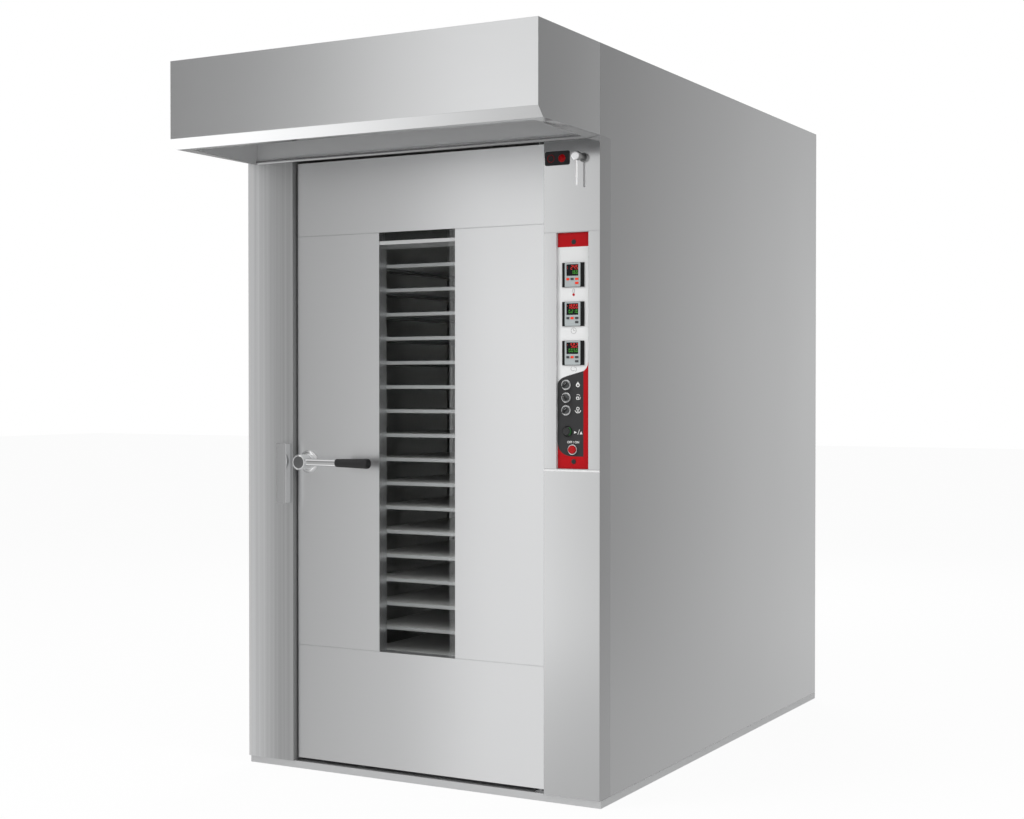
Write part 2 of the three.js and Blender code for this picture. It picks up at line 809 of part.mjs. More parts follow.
function addController(name, z) {
  const half = controllerSize / 2;
  const bodyHalf = controllerBodySize / 2;
  add(name, join(
    box(panelX - half, panelX + half, panelFront - controllerProud, panelFront, z - half, z + half),
    box(
      panelX - bodyHalf, panelX + bodyHalf,
      panelFront - overlap, panelFront + controllerBodyDepth,
      z - bodyHalf, z + bodyHalf,
    ),
  ), darkPlastic);
}

// A rotary selector: a round knob with a grip bar that points up and to one side.
function addSelector(name, z, lean) {
  const front = panelFront - selectorProud;
  const bar = box(
    -gripBarWidth / 2, gripBarWidth / 2,
    front - gripBarHeight, front + overlap,
    -selectorRadius + overlap, selectorRadius - overlap,
  );
  bar.rotateY(lean * Math.PI / 4).translate(selectorX, 0, z);
  add(name, join(
    rodY(selectorRadius, selectorX, z, front, panelFront - seatGap, 28),
    rodY(stemRadius, selectorX, z, panelFront - overlap, panelFront - overlap + stemLength, 16),
    bar,
  ), darkPlastic);
}

function addButton(name, x, z, look) {
  const front = panelFront - buttonProud;
  const capBack = panelFront - buttonTravel - seatGap;
  add(name, join(
    turnedY([
      [0, front],
      [buttonRadius - buttonEdge, front],
      [buttonRadius, front + buttonEdge],
      [buttonRadius, capBack],
      [0, capBack],
    ], x, z, 28),
    rodY(stemRadius, x, z, capBack - overlap, capBack + stemLength, 16),
  ), look);
}

function addIndicator() {
  const x0 = openingRight + indicatorInset;
  const middle = indicatorCentreHeight;
  const face = roundedRectangle(
    x0, x0 + indicatorWidth, middle - indicatorHeight / 2, middle + indicatorHeight / 2,
    indicatorCorner, 4,
  );
  add("indicator_plate", slabOf(face, -indicatorThickness, 0), darkPlastic);
}

function addDamperLever() {
  const x = right - damperInset;
  const capFront = -damperStandOff;
  const capBack = capFront + damperCapLength;
  const rodDepth = capFront + damperCapLength / 2;
  add("damper_lever", join(
    turnedY([
      [0, capFront],
      [damperCapRadius - damperCapEdge, capFront],
      [damperCapRadius, capFront + damperCapEdge],
      [damperCapRadius, capBack],
      [0, capBack],
    ], x, damperHeight, 28),
    rodY(damperSpindleRadius, x, damperHeight, capBack - overlap, damperSpindleReach, 24),
    rodZ(damperRodRadius, x, rodDepth, damperHeight - damperRodReach, damperHeight, 12),
  ), chrome);
}

// ---- Rack and trays --------------------------------------------------------------------------------
function addRackSide(name, side) {
  const outer = side * rackHalfWidth;
  const inner = side * (rackHalfWidth - postSize);
  const railInner = side * (trayHalf - railReach);
  const bar = (xa, xb, y0, y1, z0, z1) => box(Math.min(xa, xb), Math.max(xa, xb), y0, y1, z0, z1);
  const bars = [
    bar(inner, outer, rackFront, rackFront + postSize, rackBaseHeight, rackTopHeight - postSize),
    bar(inner, outer, rackBack - postSize, rackBack, rackBaseHeight, rackTopHeight - postSize),
  ];
  for (let level = 0; level < trayCount; level += 1) {
    const top = lowestTrayHeight + level * trayPitch - seatGap;
    bars.push(bar(railInner, outer - side, rackFront, rackBack, top - railThickness, top));
  }
  add(name, join(...bars), rackSteel);
}

function addRackTop() {
  const z0 = rackTopHeight - postSize;
  const ring = cut(
    box(-rackHalfWidth, rackHalfWidth, rackFront, rackBack, z0, rackTopHeight),
    box(
      -rackHalfWidth + postSize, rackHalfWidth - postSize,
      rackFront + postSize, rackBack - postSize,
      z0 - overlap, rackTopHeight + overlap,
    ),
  );
  const beam = box(
    -rackHalfWidth + overlap, rackHalfWidth - overlap,
    rackCentreDepth - postSize, rackCentreDepth + postSize,
    z0, rackTopHeight,
  );
  const plate = box(
    -hookPlateWidth / 2, hookPlateWidth / 2,
    rackCentreDepth - hookPlateThickness / 2, rackCentreDepth + hookPlateThickness / 2,
    rackTopHeight - overlap, hookPlateTop,
  );
  const eye = rodY(
    hookPinRadius + runningGap, 0, hookPinHeight,
    rackCentreDepth - hookPlateThickness, rackCentreDepth + hookPlateThickness, 20,
  );
  add("rack_top", cut(join(ring, beam, plate), eye), rackSteel);
}

function addRackBase() {
  const z0 = rackBaseHeight - postSize;
  const ring = cut(
    box(-rackHalfWidth, rackHalfWidth, rackFront, rackBack, z0, rackBaseHeight),
    box(
      -rackHalfWidth + postSize, rackHalfWidth - postSize,
      rackFront + postSize, rackBack - postSize,
      z0 - overlap, rackBaseHeight + overlap,
    ),
  );
  const castors = [];
  const wheelCentre = wheelGround + castorRadius;
  const plateHalf = castorPlateSize / 2;
  const cheekHalf = castorCheekWidth / 2;
  for (const x of [-1, 1].map((side) => side * (rackHalfWidth - castorInset))) {
    for (const y of [rackFront + castorSetback, rackBack - castorSetback]) {
      castors.push(rodX(
        castorRadius, castorRadius, y, wheelCentre, x - castorWidth / 2, x + castorWidth / 2, 20,
      ));
      for (const cheek of [-1, 1]) {
        const cheekX = x + cheek * (castorWidth / 2 + overlap);
        castors.push(box(
          cheekX - castorCheekThickness / 2, cheekX + castorCheekThickness / 2,
          y - cheekHalf, y + cheekHalf,
          wheelCentre - castorCheekDrop, z0 - 2,
        ));
      }
      castors.push(box(
        x - plateHalf, x + plateHalf, y - plateHalf, y + plateHalf, z0 - castorPlateThickness, z0 + overlap,
      ));
    }
  }
  add("rack_base", join(ring, ...castors), rackSteel);
}

function addTray(level) {
  const z0 = lowestTrayHeight + level * trayPitch;
  const shell = cut(
    box(-trayHalf, trayHalf, rackFront, rackBack, z0, z0 + trayEdge),
    box(
      -trayHalf + traySheet, trayHalf - traySheet,
      rackFront + traySheet, rackBack - traySheet,
      z0 - overlap, z0 + trayEdge - traySheet,
    ),
  );
  add(`tray_${String(level + 1).padStart(2, "0")}`, shell, trayAluminium);
}

// ---- Rack drive ------------------------------------------------------------------------------------
// The shaft hangs in the gearbox and ends in a fork whose pin goes through the eye of the rack's plate.
function addDriveShaft() {
  const gap = hookPlateThickness / 2 + runningGap;
  const forkTop = hookPlateTop + forkHeadHeight;
  const forkBottom = hookPinHeight - forkTineDrop;
  const fork = cut(
    rodZ(yokeRadius, 0, rackCentreDepth, forkBottom, forkTop, 32),
    box(
      -yokeRadius - overlap, yokeRadius + overlap, rackCentreDepth - gap, rackCentreDepth + gap,
      forkBottom - overlap, hookPlateTop + runningGap,
    ),
  );
  const pin = rodY(
    hookPinRadius, 0, hookPinHeight,
    rackCentreDepth - yokeRadius / 2, rackCentreDepth + yokeRadius / 2, 20,
  );
  const shaft = rodZ(
    shaftRadius, 0, rackCentreDepth, forkTop - overlap, ceilingTop + gearboxSocket - runningGap, 32,
  );
  add("drive_shaft", join(fork, pin, shaft), chrome);
}

function addGearmotor() {
  const z = ceilingTop;
  const gearbox = box(
    -gearboxWidth / 2, gearboxLength - gearboxWidth / 2,
    rackCentreDepth - gearboxWidth / 2, rackCentreDepth + gearboxWidth / 2,
    z, z + gearboxHeight,
  );
  const motorStart = gearboxLength - gearboxWidth / 2 - overlap;
  const motor = rodX(
    driveMotorRadius, driveMotorRadius, rackCentreDepth, z + gearboxHeight / 2,
    motorStart, motorStart + driveMotorLength, 32,
  );
  const socket = rodZ(shaftRadius + runningGap, 0, rackCentreDepth, z - overlap, z + gearboxSocket, 32);
  add("gearmotor", cut(join(gearbox, motor), socket), castAluminium);
}

// ---- Heating and air -------------------------------------------------------------------------------
function addHeaterBank() {
  const y = plenumFront + heaterDistance;
  const half = heaterHeaderSize / 2;
  const wall = chamberRight - seatGap;
  const bars = [heaterBottomHeight, heaterTopHeight].map((z) => box(
    -wall, wall, y - half, y + half, z - half, z + half,
  ));
  for (let index = 0; index < heaterTubeCount; index += 1) {
    const x = (index - (heaterTubeCount - 1) / 2) * heaterTubePitch;
    bars.push(rodZ(heaterTubeRadius, x, y, heaterBottomHeight, heaterTopHeight, 12));
  }
  add("heater_bank", join(...bars), heaterSheath);
}

const fanBack = backWallFront - fanDistance;
const fanFront = fanBack - fanWidth;

function addFanWheel() {
  const pieces = [
    rodY(fanRadius, 0, fanHeight, fanBack - fanSheet, fanBack, 40),
    rodY(fanHubRadius, 0, fanHeight, fanBack - fanWidth / 2, fanBack, 24),
    rodY(fanShaftRadius, 0, fanHeight, fanBack - overlap, backWallBack + fanMotorSocket - runningGap, 20),
  ];
  for (let index = 0; index < fanBladeCount; index += 1) {
    const blade = box(
      fanBladeStart, fanRadius - 2, fanFront + fanSheet / 2, fanBack - overlap, -fanSheet / 2, fanSheet / 2,
    );
    blade.rotateY(index * 2 * Math.PI / fanBladeCount).translate(0, 0, fanHeight);
    pieces.push(blade);
  }
  const shroud = cut(
    rodY(fanRadius, 0, fanHeight, fanFront, fanFront + fanSheet, 40),
    rodY(fanInletRadius, 0, fanHeight, fanFront - overlap, fanFront + fanSheet + overlap, 40),
  );
  add("fan_wheel", join(...pieces, shroud), rackSteel);
}

function addFanMotor() {
  const half = fanMotorFlange / 2;
  const barrelStart = backWallBack + fanMotorFlangeThickness;
  const flange = box(-half, half, backWallBack, barrelStart, fanHeight - half, fanHeight + half);
  const barrel = rodY(
    fanMotorRadius, 0, fanHeight,
    barrelStart - overlap, barrelStart + fanMotorLength, 36,
  );
  const socket = rodY(
    fanShaftRadius + runningGap, 0, fanHeight, backWallBack - overlap, backWallBack + fanMotorSocket, 20,
  );
  add("fan_motor", cut(join(flange, barrel), socket), castAluminium);
}

// ---- Build -----------------------------------------------------------------------------------------
addBase();
addLeftJamb();
addControlColumn();
addSideWall("left_side_wall", -1);
addSideWall("right_side_wall", 1);
addCeiling();
addBackWall();
addAirDiffuser();
addRearPanel();
addHood();
addDoorCasing();
addDoorSheets();
addWindow();
addGasket();
addPivots();
addHandle();
addKeeper();
addControlPanel();
["temperature_controller", "bake_timer", "steam_timer"].forEach((name, index) => {
  addController(name, controllerHeights[index]);
});
addSelector("light_selector", selectorHeights[0], 1);
addSelector("steam_selector", selectorHeights[1], -1);
addSelector("fan_selector", selectorHeights[2], 1);
addButton("start_button", startX, startButtonHeight, darkPlastic);
addButton("power_button", powerX, powerButtonHeight, redPlastic);
addIndicator();
addDamperLever();
addRackSide("rack_side_left", -1);
addRackSide("rack_side_right", 1);
addRackTop();
addRackBase();
for (let level = 0; level < trayCount; level += 1) {
  addTray(level);
}
addDriveShaft();
addGearmotor();
addHeaterBank();
addFanWheel();
addFanMotor();

// The origin is on the floor, under the centre of the space from the hood's front to the cabinet's back.
oven.position.y = (hoodReach - cabinetDepth) / 2;

const group = new THREE.Group();
group.add(oven);

export default group;
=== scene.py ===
"""Looks of a rotating rack oven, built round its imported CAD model.

Places in this file are in mm from the oven's front face, its middle and the floor, and mm() turns them
into the model's metres. Every finished piece sits at the origin with its place in its mesh.
"""

import json
import math

import bmesh
import bpy
from mathutils import Matrix, Vector


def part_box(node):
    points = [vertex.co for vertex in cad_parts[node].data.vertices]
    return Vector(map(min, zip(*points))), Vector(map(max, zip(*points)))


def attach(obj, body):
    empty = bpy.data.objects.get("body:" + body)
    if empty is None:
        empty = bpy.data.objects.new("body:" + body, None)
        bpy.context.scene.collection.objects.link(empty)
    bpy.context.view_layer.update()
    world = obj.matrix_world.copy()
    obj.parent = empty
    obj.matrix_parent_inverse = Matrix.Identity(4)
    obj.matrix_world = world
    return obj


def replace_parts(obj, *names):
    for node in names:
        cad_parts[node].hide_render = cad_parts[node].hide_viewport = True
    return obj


bl_info = {
    "name": "Rack oven looks",
    "version": (1, 0, 0),
    "blender": (4, 5, 0),
    "location": "3D View > Sidebar > Rack oven",
    "description": "Builds the finishes, fittings and stage of a rotating rack oven",
    "category": "Add Mesh",
}

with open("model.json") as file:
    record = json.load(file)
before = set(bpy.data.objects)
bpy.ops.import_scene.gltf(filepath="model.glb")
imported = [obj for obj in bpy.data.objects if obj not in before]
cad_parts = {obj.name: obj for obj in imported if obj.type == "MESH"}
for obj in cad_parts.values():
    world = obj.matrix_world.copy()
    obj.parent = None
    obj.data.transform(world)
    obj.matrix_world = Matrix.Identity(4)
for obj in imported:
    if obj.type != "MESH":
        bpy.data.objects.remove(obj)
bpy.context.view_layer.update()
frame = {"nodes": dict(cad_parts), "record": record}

UNIT = 0.001
FRONT_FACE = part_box("left_jamb")[0].y
PANEL_FACE = 9.0

# The photographed view: the camera's place in metres, its turn in degrees, and its focal length in pixels.
CAMERA_PLACE = (2.78858, -5.25041, 1.26565)
CAMERA_TURN = (90 - 0.7303, -0.0048, 28.7383)
FOCAL_PIXELS, IMAGE_WIDTH, SENSOR_WIDTH = 1640.547, 1024, 36

# Controls on the faceplate: node, x, z.
CONTROLLERS = (
    ("temperature_controller", 565.0, 1609.5),
    ("bake_timer", 565.0, 1491.5),
    ("steam_timer", 565.0, 1373.5),
)
# Node, body, x, z, and which way its bar leans.
SELECTORS = (
    ("light_selector", "light_knob", 541.5, 1277.0, 1),
    ("steam_selector", "steam_knob", 541.5, 1238.5, -1),
    ("fan_selector", "fan_knob", 541.5, 1200.0, 1),
)
START_BUTTON = (545.0, 1136.0)
POWER_BUTTON = (563.0, 1081.0)

# What polished metal sees round the oven: degrees from the back towards the right side, grey level.
STUDIO_RING = (
    (-180, 0.7), (-160, 0.74), (-157, 0.78), (-155, 0.82), (-153.4, 0.86), (-152, 1.1), (-150.5, 1.5),
    (-148.5, 1.17), (-147, 0.7), (-145.5, 0.45), (-143.5, 0.34), (-140, 0.22), (-134, 0.18), (-120, 0.24),
    (-90, 0.4), (-30, 0.55), (0, 0.78), (13, 0.88), (18, 0.86), (21, 0.69), (24, 0.34), (27, 0.2), (30, 0.14),
    (40, 0.18), (90, 0.42), (150, 0.62), (180, 0.7),
)
# How that ring changes upwards: sine of the angle above the horizon, gain.
STUDIO_RISE = (
    (-1, 1.0), (-0.22, 1.02), (-0.16, 1.05), (-0.13, 1.05), (-0.1, 0.97), (-0.04, 0.98), (0.02, 1.01),
    (0.085, 0.95), (0.14, 0.88), (0.19, 0.81), (0.5, 0.8), (1, 0.8),
)
RING_GAIN = 1.5
# The floor in it: sines where it starts and is full, its share, grey level.
STUDIO_FLOOR = (-0.15, -0.178, 0.5, 0.58)
# Soft panels in it: direction, cosines where each is full and where it ends, grey level.
STUDIO_PANELS = (
    ((0, 0, 1), 0.92, 0.35, 0.85),
    ((0, 0, -1), 0.95, 0.3, 0.5),
    ((-0.42, -0.84, -0.34), 0.999, 0.985, 0.62),
    ((-0.7, -0.13, -0.7), 1.01, 0.955, 1.55),
)

# How deep a finish's finest relief is, and how close corners are that become one, all in metres.
RELIEF_DEPTH = 0.0002
WELD_GAP, NODE_WELD_GAP = 1e-6, 2e-5
# Faces that meet at less than the first angle are made one, and edges sharper than the second are rounded.
FLAT_ANGLE, EDGE_ANGLE = math.radians(0.5), math.radians(32)

# The body of each CAD node.
NODE_BODIES = {node: body for body, nodes in frame["record"]["behaviour"]["bodies"].items() for node in nodes}

# How each axis name turns a shape that was made round +Z.
AXIS_TURNS = {
    "z": (0, 0, 0),
    "y": (-math.pi / 2, 0, 0),
    "-y": (math.pi / 2, 0, 0),
    "x": (0, math.pi / 2, 0),
}


# ---- Settings ---------------------------------------------------------------------------------------
class OvenStageSettings(bpy.types.PropertyGroup):
    floor_tone: bpy.props.FloatProperty(
        name="Floor tone", description="Grey level of the floor", default=0.86, min=0, max=1
    )
    floor_glow: bpy.props.FloatProperty(
        name="Floor glow", description="Share of the floor that shows as plain white",
        default=0.93, min=0, max=1,
    )
    sky_level: bpy.props.FloatProperty(
        name="Sky level", description="Brightness of the even light from all round", default=0.62, min=0
    )
    lamp_power: bpy.props.FloatProperty(
        name="Lamp power", description="Power of the main lamp", default=170, min=0, unit="POWER"
    )
    chamber_power: bpy.props.FloatProperty(
        name="Chamber lamp power", description="Power of the lamp that lights the trays",
        default=7, min=0, unit="POWER",
    )


class OvenFinishSettings(bpy.types.PropertyGroup):
    steel: bpy.props.FloatVectorProperty(
        name="Casing steel", description="Colour of the brushed casing sheets", subtype="COLOR",
        default=(0.74, 0.745, 0.75), min=0, max=1,
    )
    steel_roughness: bpy.props.FloatProperty(
        name="Casing roughness", description="How dull the casing sheets are", default=0.22, min=0, max=1
    )
    red: bpy.props.FloatVectorProperty(
        name="Film red", description="Red of the faceplate's film", subtype="COLOR",
        default=(0.44, 0.006, 0.010), min=0, max=1,
    )
    charcoal: bpy.props.FloatVectorProperty(
        name="Film charcoal", description="Dark field of the faceplate's film", subtype="COLOR",
        default=(0.042, 0.042, 0.043), min=0, max=1,
    )
    white: bpy.props.FloatVectorProperty(
        name="Film white", description="White field of the faceplate's film", subtype="COLOR",
        default=(0.77, 0.775, 0.775), min=0, max=1,
    )


class OvenControlSettings(bpy.types.PropertyGroup):
    upper_readings: bpy.props.StringProperty(
        name="Upper readings", description="Red numbers on the three controllers", default="245,1800,502"
    )
    lower_readings: bpy.props.StringProperty(
        name="Lower readings", description="Green numbers on the three controllers", default="180,0210,0050"
    )
    display_glow: bpy.props.FloatProperty(
        name="Display glow", description="Brightness of the lit numbers", default=1.0, min=0
    )


# ---- Places and modelling helpers ---------------------------------------------------------------------
def mm(x, y, z):
    return Vector((x * UNIT, FRONT_FACE + y * UNIT, z * UNIT))


def deselect():
    if bpy.context.object and bpy.context.object.mode != "OBJECT":
        bpy.ops.object.mode_set(mode="OBJECT")
    bpy.ops.object.select_all(action="DESELECT")


def pick_only(piece):
    deselect()
    piece.select_set(True)
    bpy.context.view_layer.objects.active = piece


def settle(piece, name):
    """Names a new piece and puts its place into its mesh."""
    pick_only(piece)
    bpy.ops.object.transform_apply(location=True, rotation=True, scale=True)
    piece.name = piece.data.name = name
    return piece


def weld():
    """In edit mode, merges doubled corners, turns all faces outwards and goes back to object mode."""
    bpy.ops.mesh.select_all(action="SELECT")
    bpy.ops.mesh.remove_doubles(threshold=WELD_GAP)
    bpy.ops.mesh.normals_make_consistent(inside=False)
    bpy.ops.object.mode_set(mode="OBJECT")


def modify(piece, kind, **settings):
    """Applies a modifier with these settings."""
    pick_only(piece)
    modifier = piece.modifiers.new(kind, kind)
    for name, value in settings.items():
        setattr(modifier, name, value)
    bpy.ops.object.modifier_apply(modifier=modifier.name)
    return piece


def smooth(piece, degrees=32):
    """Smooth shading that keeps flat faces flat beside their rounded edges."""
    pick_only(piece)
    bpy.ops.object.shade_smooth_by_angle(angle=math.radians(degrees))
    return modify(piece, "WEIGHTED_NORMAL", keep_sharp=True)


def soften(piece, width, segments=2):
    """Rounds every sharp edge by a width in mm."""
    modify(piece, "BEVEL", width=width * UNIT, segments=segments, limit_method="ANGLE", angle_limit=EDGE_ANGLE)
    return smooth(piece)


def boolean(piece, tool, operation):
    """Adds or cuts another closed piece, which is then removed."""
    modify(piece, "BOOLEAN", operation=operation, solver="EXACT", object=tool)
    bpy.data.objects.remove(tool)
    return piece


def block(name, low, high):
    """A box between two corners in mm."""
    deselect()
    low, high = mm(*low), mm(*high)
    bpy.ops.mesh.primitive_cube_add(size=1, location=(low + high) / 2, scale=high - low)
    return settle(bpy.context.object, name)


def spun(name, profile, place, axis, sides=48, ring=False):
    """Turns a profile of (radius, distance) points in mm about a line through place."""
    deselect()
    bpy.ops.mesh.primitive_circle_add(vertices=len(profile), radius=1)
    piece = bpy.context.object
    bpy.ops.object.mode_set(mode="EDIT")
    outline = bmesh.from_edit_mesh(piece.data)
    outline.verts.ensure_lookup_table()
    for corner, (radius, distance) in zip(outline.verts, profile):
        corner.co = (radius * UNIT, 0, distance * UNIT)
    if not ring:
        outline.edges.remove(outline.edges.get((outline.verts[0], outline.verts[-1])))
    bmesh.update_edit_mesh(piece.data)
    bpy.ops.mesh.select_all(action="SELECT")
    bpy.ops.mesh.spin(steps=sides, angle=math.tau, center=(0, 0, 0), axis=(0, 0, 1))
    weld()
    piece.rotation_euler = AXIS_TURNS[axis]
    piece.location = mm(*place)
    return smooth(settle(piece, name))


def combine(name, pieces):
    """Joins pieces into one object that keeps them as separate shells."""
    deselect()
    for piece in pieces:
        piece.select_set(True)
    bpy.context.view_layer.objects.active = pieces[0]
    bpy.ops.object.join()
    pieces[0].name = pieces[0].data.name = name
    return pieces[0]


def moved_copy(piece, name, offset):
    """A copy with its own mesh, moved by an offset in mm."""
    pick_only(piece)
    bpy.ops.object.duplicate(linked=False)
    copy = bpy.context.object
    copy.location = Vector(offset) * UNIT
    return settle(copy, name)


def drawn(name, outlines, closed, **settings):
    """A mesh made of a curve through these outlines of points in metres."""
    deselect()
    curve = bpy.data.curves.new(name, "CURVE")
    for setting, value in settings.items():
        setattr(curve, setting, value)
    for points in outlines:
        spline = curve.splines.new("POLY")
        spline.points.add(len(points) - 1)
        for point, place in zip(spline.points, points):
            point.co = (*place, 1)
        spline.use_cyclic_u = closed
    piece = bpy.data.objects.new(name, curve)
    bpy.context.collection.objects.link(piece)
    pick_only(piece)
    bpy.ops.object.convert(target="MESH")
    return bpy.context.object


def flat_shape(name, outlines, back, thickness):
    """A thin plate in the faceplate's plane, of outlines of (x, z) points in mm. An inner one is a hole."""
    outlines = [[(x * UNIT, z * UNIT, 0) for x, z in points] for points in outlines]
    piece = drawn(name, outlines, True, dimensions="2D", fill_mode="BOTH", extrude=thickness * UNIT / 2)
    piece.rotation_euler = AXIS_TURNS["-y"]
    piece.location = mm(0, back - thickness / 2, 0)
    settle(piece, name)
    bpy.ops.object.mode_set(mode="EDIT")
    weld()
    return piece


def pipe(name, points, radius):
    """A bent tube of a radius in mm through points in mm."""
    points = [mm(*place) for place in points]
    piece = drawn(
        name, [points], False, dimensions="3D", bevel_depth=radius * UNIT, bevel_resolution=5, use_fill_caps=True
    )
    return smooth(settle(piece, name), 50)


def circle(x, z, radius, sides=28, start=0.0, sweep=math.tau):
    angles = [start + sweep * i / sides for i in range(sides if sweep == math.tau else sides + 1)]
    return [(x + radius * math.cos(angle), z + radius * math.sin(angle)) for angle in angles]


def arc_band(x, z, inner, outer, start, sweep):
    return circle(x, z, outer, 20, start, sweep) + circle(x, z, inner, 20, start, sweep)[::-1]


def rounded_rectangle(x0, x1, z0, z1, radius):
    left, right, low, high = x0 + radius, x1 - radius, z0 + radius, z1 - radius
    points = []
    for turn, (x, z) in enumerate(((right, high), (left, high), (left, low), (right, low))):
        points += circle(x, z, radius, 4, turn * math.pi / 2, math.pi / 2)
    return points


def give_finish(piece, material):
    piece.data.materials.clear()
    piece.data.materials.append(FINISHES[material])


def dress(piece, material, body):
    """Gives a new piece its finish and the body that it moves with."""
    give_finish(piece, material)
    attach(piece, body)
    return piece


def rounded_node(node, name, width, material, segments=2):
    """A copy of a CAD node with its edges rounded, which stands for the node."""
    piece = bpy.data.objects.new(name, frame["nodes"][node].data.copy())
    bpy.context.collection.objects.link(piece)
    pick_only(piece)
    bpy.ops.object.mode_set(mode="EDIT")
    bpy.ops.mesh.select_all(action="SELECT")
    bpy.ops.mesh.remove_doubles(threshold=NODE_WELD_GAP)
    bpy.ops.mesh.dissolve_limited(angle_limit=FLAT_ANGLE)
    bpy.ops.object.mode_set(mode="OBJECT")
    piece.data.name = name
    if width:
        soften(piece, width, segments)
    smooth(piece)
    dress(piece, material, NODE_BODIES[node])
    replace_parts(piece, node)
    return piece


# ---- Materials ----------------------------------------------------------------------------------------
FINISHES = {}


def plug(tree, value, socket):
    """Links another node's socket, or sets a plain value."""
    if isinstance(value, bpy.types.NodeSocket):
        tree.links.new(value, socket)
    else:
        socket.default_value = value


def add_node(tree, kind, inputs, **settings):
    """A shader node with its settings, and with its inputs plugged by name or number."""
    node = tree.nodes.new("ShaderNode" + kind)
    for name, value in settings.items():
        setattr(node, name, value)
    for name, value in inputs.items():
        plug(tree, value, node.inputs[name])
    return node


def maths(tree, operation, a, b=0):
    return add_node(tree, "Math", {0: a, 1: b}, operation=operation).outputs[0]


def blended(tree, share, first, second):
    """The first value where the share is 0, the second where it is 1."""
    return add_node(tree, "Mix", {"Factor": share, "A": first, "B": second}).outputs["Result"]


def ranged(tree, value, start, end, first=0, last=1, curve="SMOOTHSTEP"):
    """The first level up to the start of a range, the last from its end, and a slope between them."""
    inputs = {"Value": value, "From Min": start, "From Max": end, "To Min": first, "To Max": last}
    return add_node(tree, "MapRange", inputs, interpolation_type=curve).outputs[0]


def scaled(tree, colour, share):
    return add_node(tree, "VectorMath", {0: colour, "Scale": share}, operation="SCALE").outputs[0]


def noise(tree, place, detail=2.0):
    return add_node(tree, "TexNoise", {"Vector": place, "Scale": 1.0, "Detail": detail}).outputs["Fac"]


def stretched(tree, scale):
    """Places on the piece, for a pattern that repeats this many times in a metre, along each axis or all."""
    place = add_node(tree, "TexCoord", {}).outputs["Object"]
    scale = scale if isinstance(scale, tuple) else (scale,) * 3
    return add_node(tree, "Mapping", {"Vector": place, "Scale": scale}).outputs[0]


def make_surface_group():
    """Two scales of change over a surface: a fine grain and a broad drift, for colour, roughness and height."""
    group = bpy.data.node_groups.new("Surface variation", "ShaderNodeTree")
    for direction, sockets in (
        ("INPUT", (("Fine place", "Vector"), ("Broad place", "Vector"), ("Base", "Color"), ("Fine", "Float"),
                   ("Broad", "Float"), ("Roughness", "Float"), ("Spread", "Float"))),
        ("OUTPUT", (("Color", "Color"), ("Roughness", "Float"), ("Height", "Float"))),
    ):
        for socket, kind in sockets:
            group.interface.new_socket(socket, in_out=direction, socket_type="NodeSocket" + kind)
    taken = group.nodes.new("NodeGroupInput").outputs
    given = group.nodes.new("NodeGroupOutput").inputs
    grain = noise(group, taken["Fine place"])
    fine = maths(group, "SUBTRACT", grain, 0.5)
    broad = maths(group, "SUBTRACT", noise(group, taken["Broad place"]), 0.5)
    fine_step = maths(group, "MULTIPLY", fine, taken["Fine"])
    broad_step = maths(group, "MULTIPLY", broad, taken["Broad"])
    tone = maths(group, "ADD", maths(group, "ADD", fine_step, broad_step), 1.0)
    spread = maths(group, "MULTIPLY", maths(group, "ADD", fine, broad), taken["Spread"])
    plug(group, scaled(group, taken["Base"], tone), given["Color"])
    plug(group, maths(group, "ADD", spread, taken["Roughness"]), given["Roughness"])
    plug(group, grain, given["Height"])


def blank_material(name):
    material = bpy.data.materials.new(name)
    material.use_nodes = True
    FINISHES[name] = material
    return material.node_tree, material.node_tree.nodes["Principled BSDF"]


def varied(
    name, base, roughness, fine_scale, fine, broad_scale, broad, spread, bump=0, metallic=0, coat=0, specular=0.5
):
    """A surface whose colour, roughness and relief change at a fine and a broad scale."""
    tree, shader = blank_material(name)
    inputs = {
        "Fine place": stretched(tree, fine_scale), "Broad place": stretched(tree, broad_scale),
        "Base": (*base, 1), "Fine": fine, "Broad": broad, "Roughness": roughness, "Spread": spread,
    }
    surface = add_node(tree, "Group", inputs, node_tree=bpy.data.node_groups["Surface variation"])
    plug(tree, surface.outputs["Color"], shader.inputs["Base Color"])
    plug(tree, surface.outputs["Roughness"], shader.inputs["Roughness"])
    if bump:
        height = surface.outputs["Height"]
        relief = add_node(tree, "Bump", {"Strength": bump, "Distance": RELIEF_DEPTH, "Height": height})
        plug(tree, relief.outputs[0], shader.inputs["Normal"])
    shader.inputs["Metallic"].default_value = metallic
    shader.inputs["Coat Weight"].default_value = coat
    shader.inputs["Specular IOR Level"].default_value = specular
    return shader


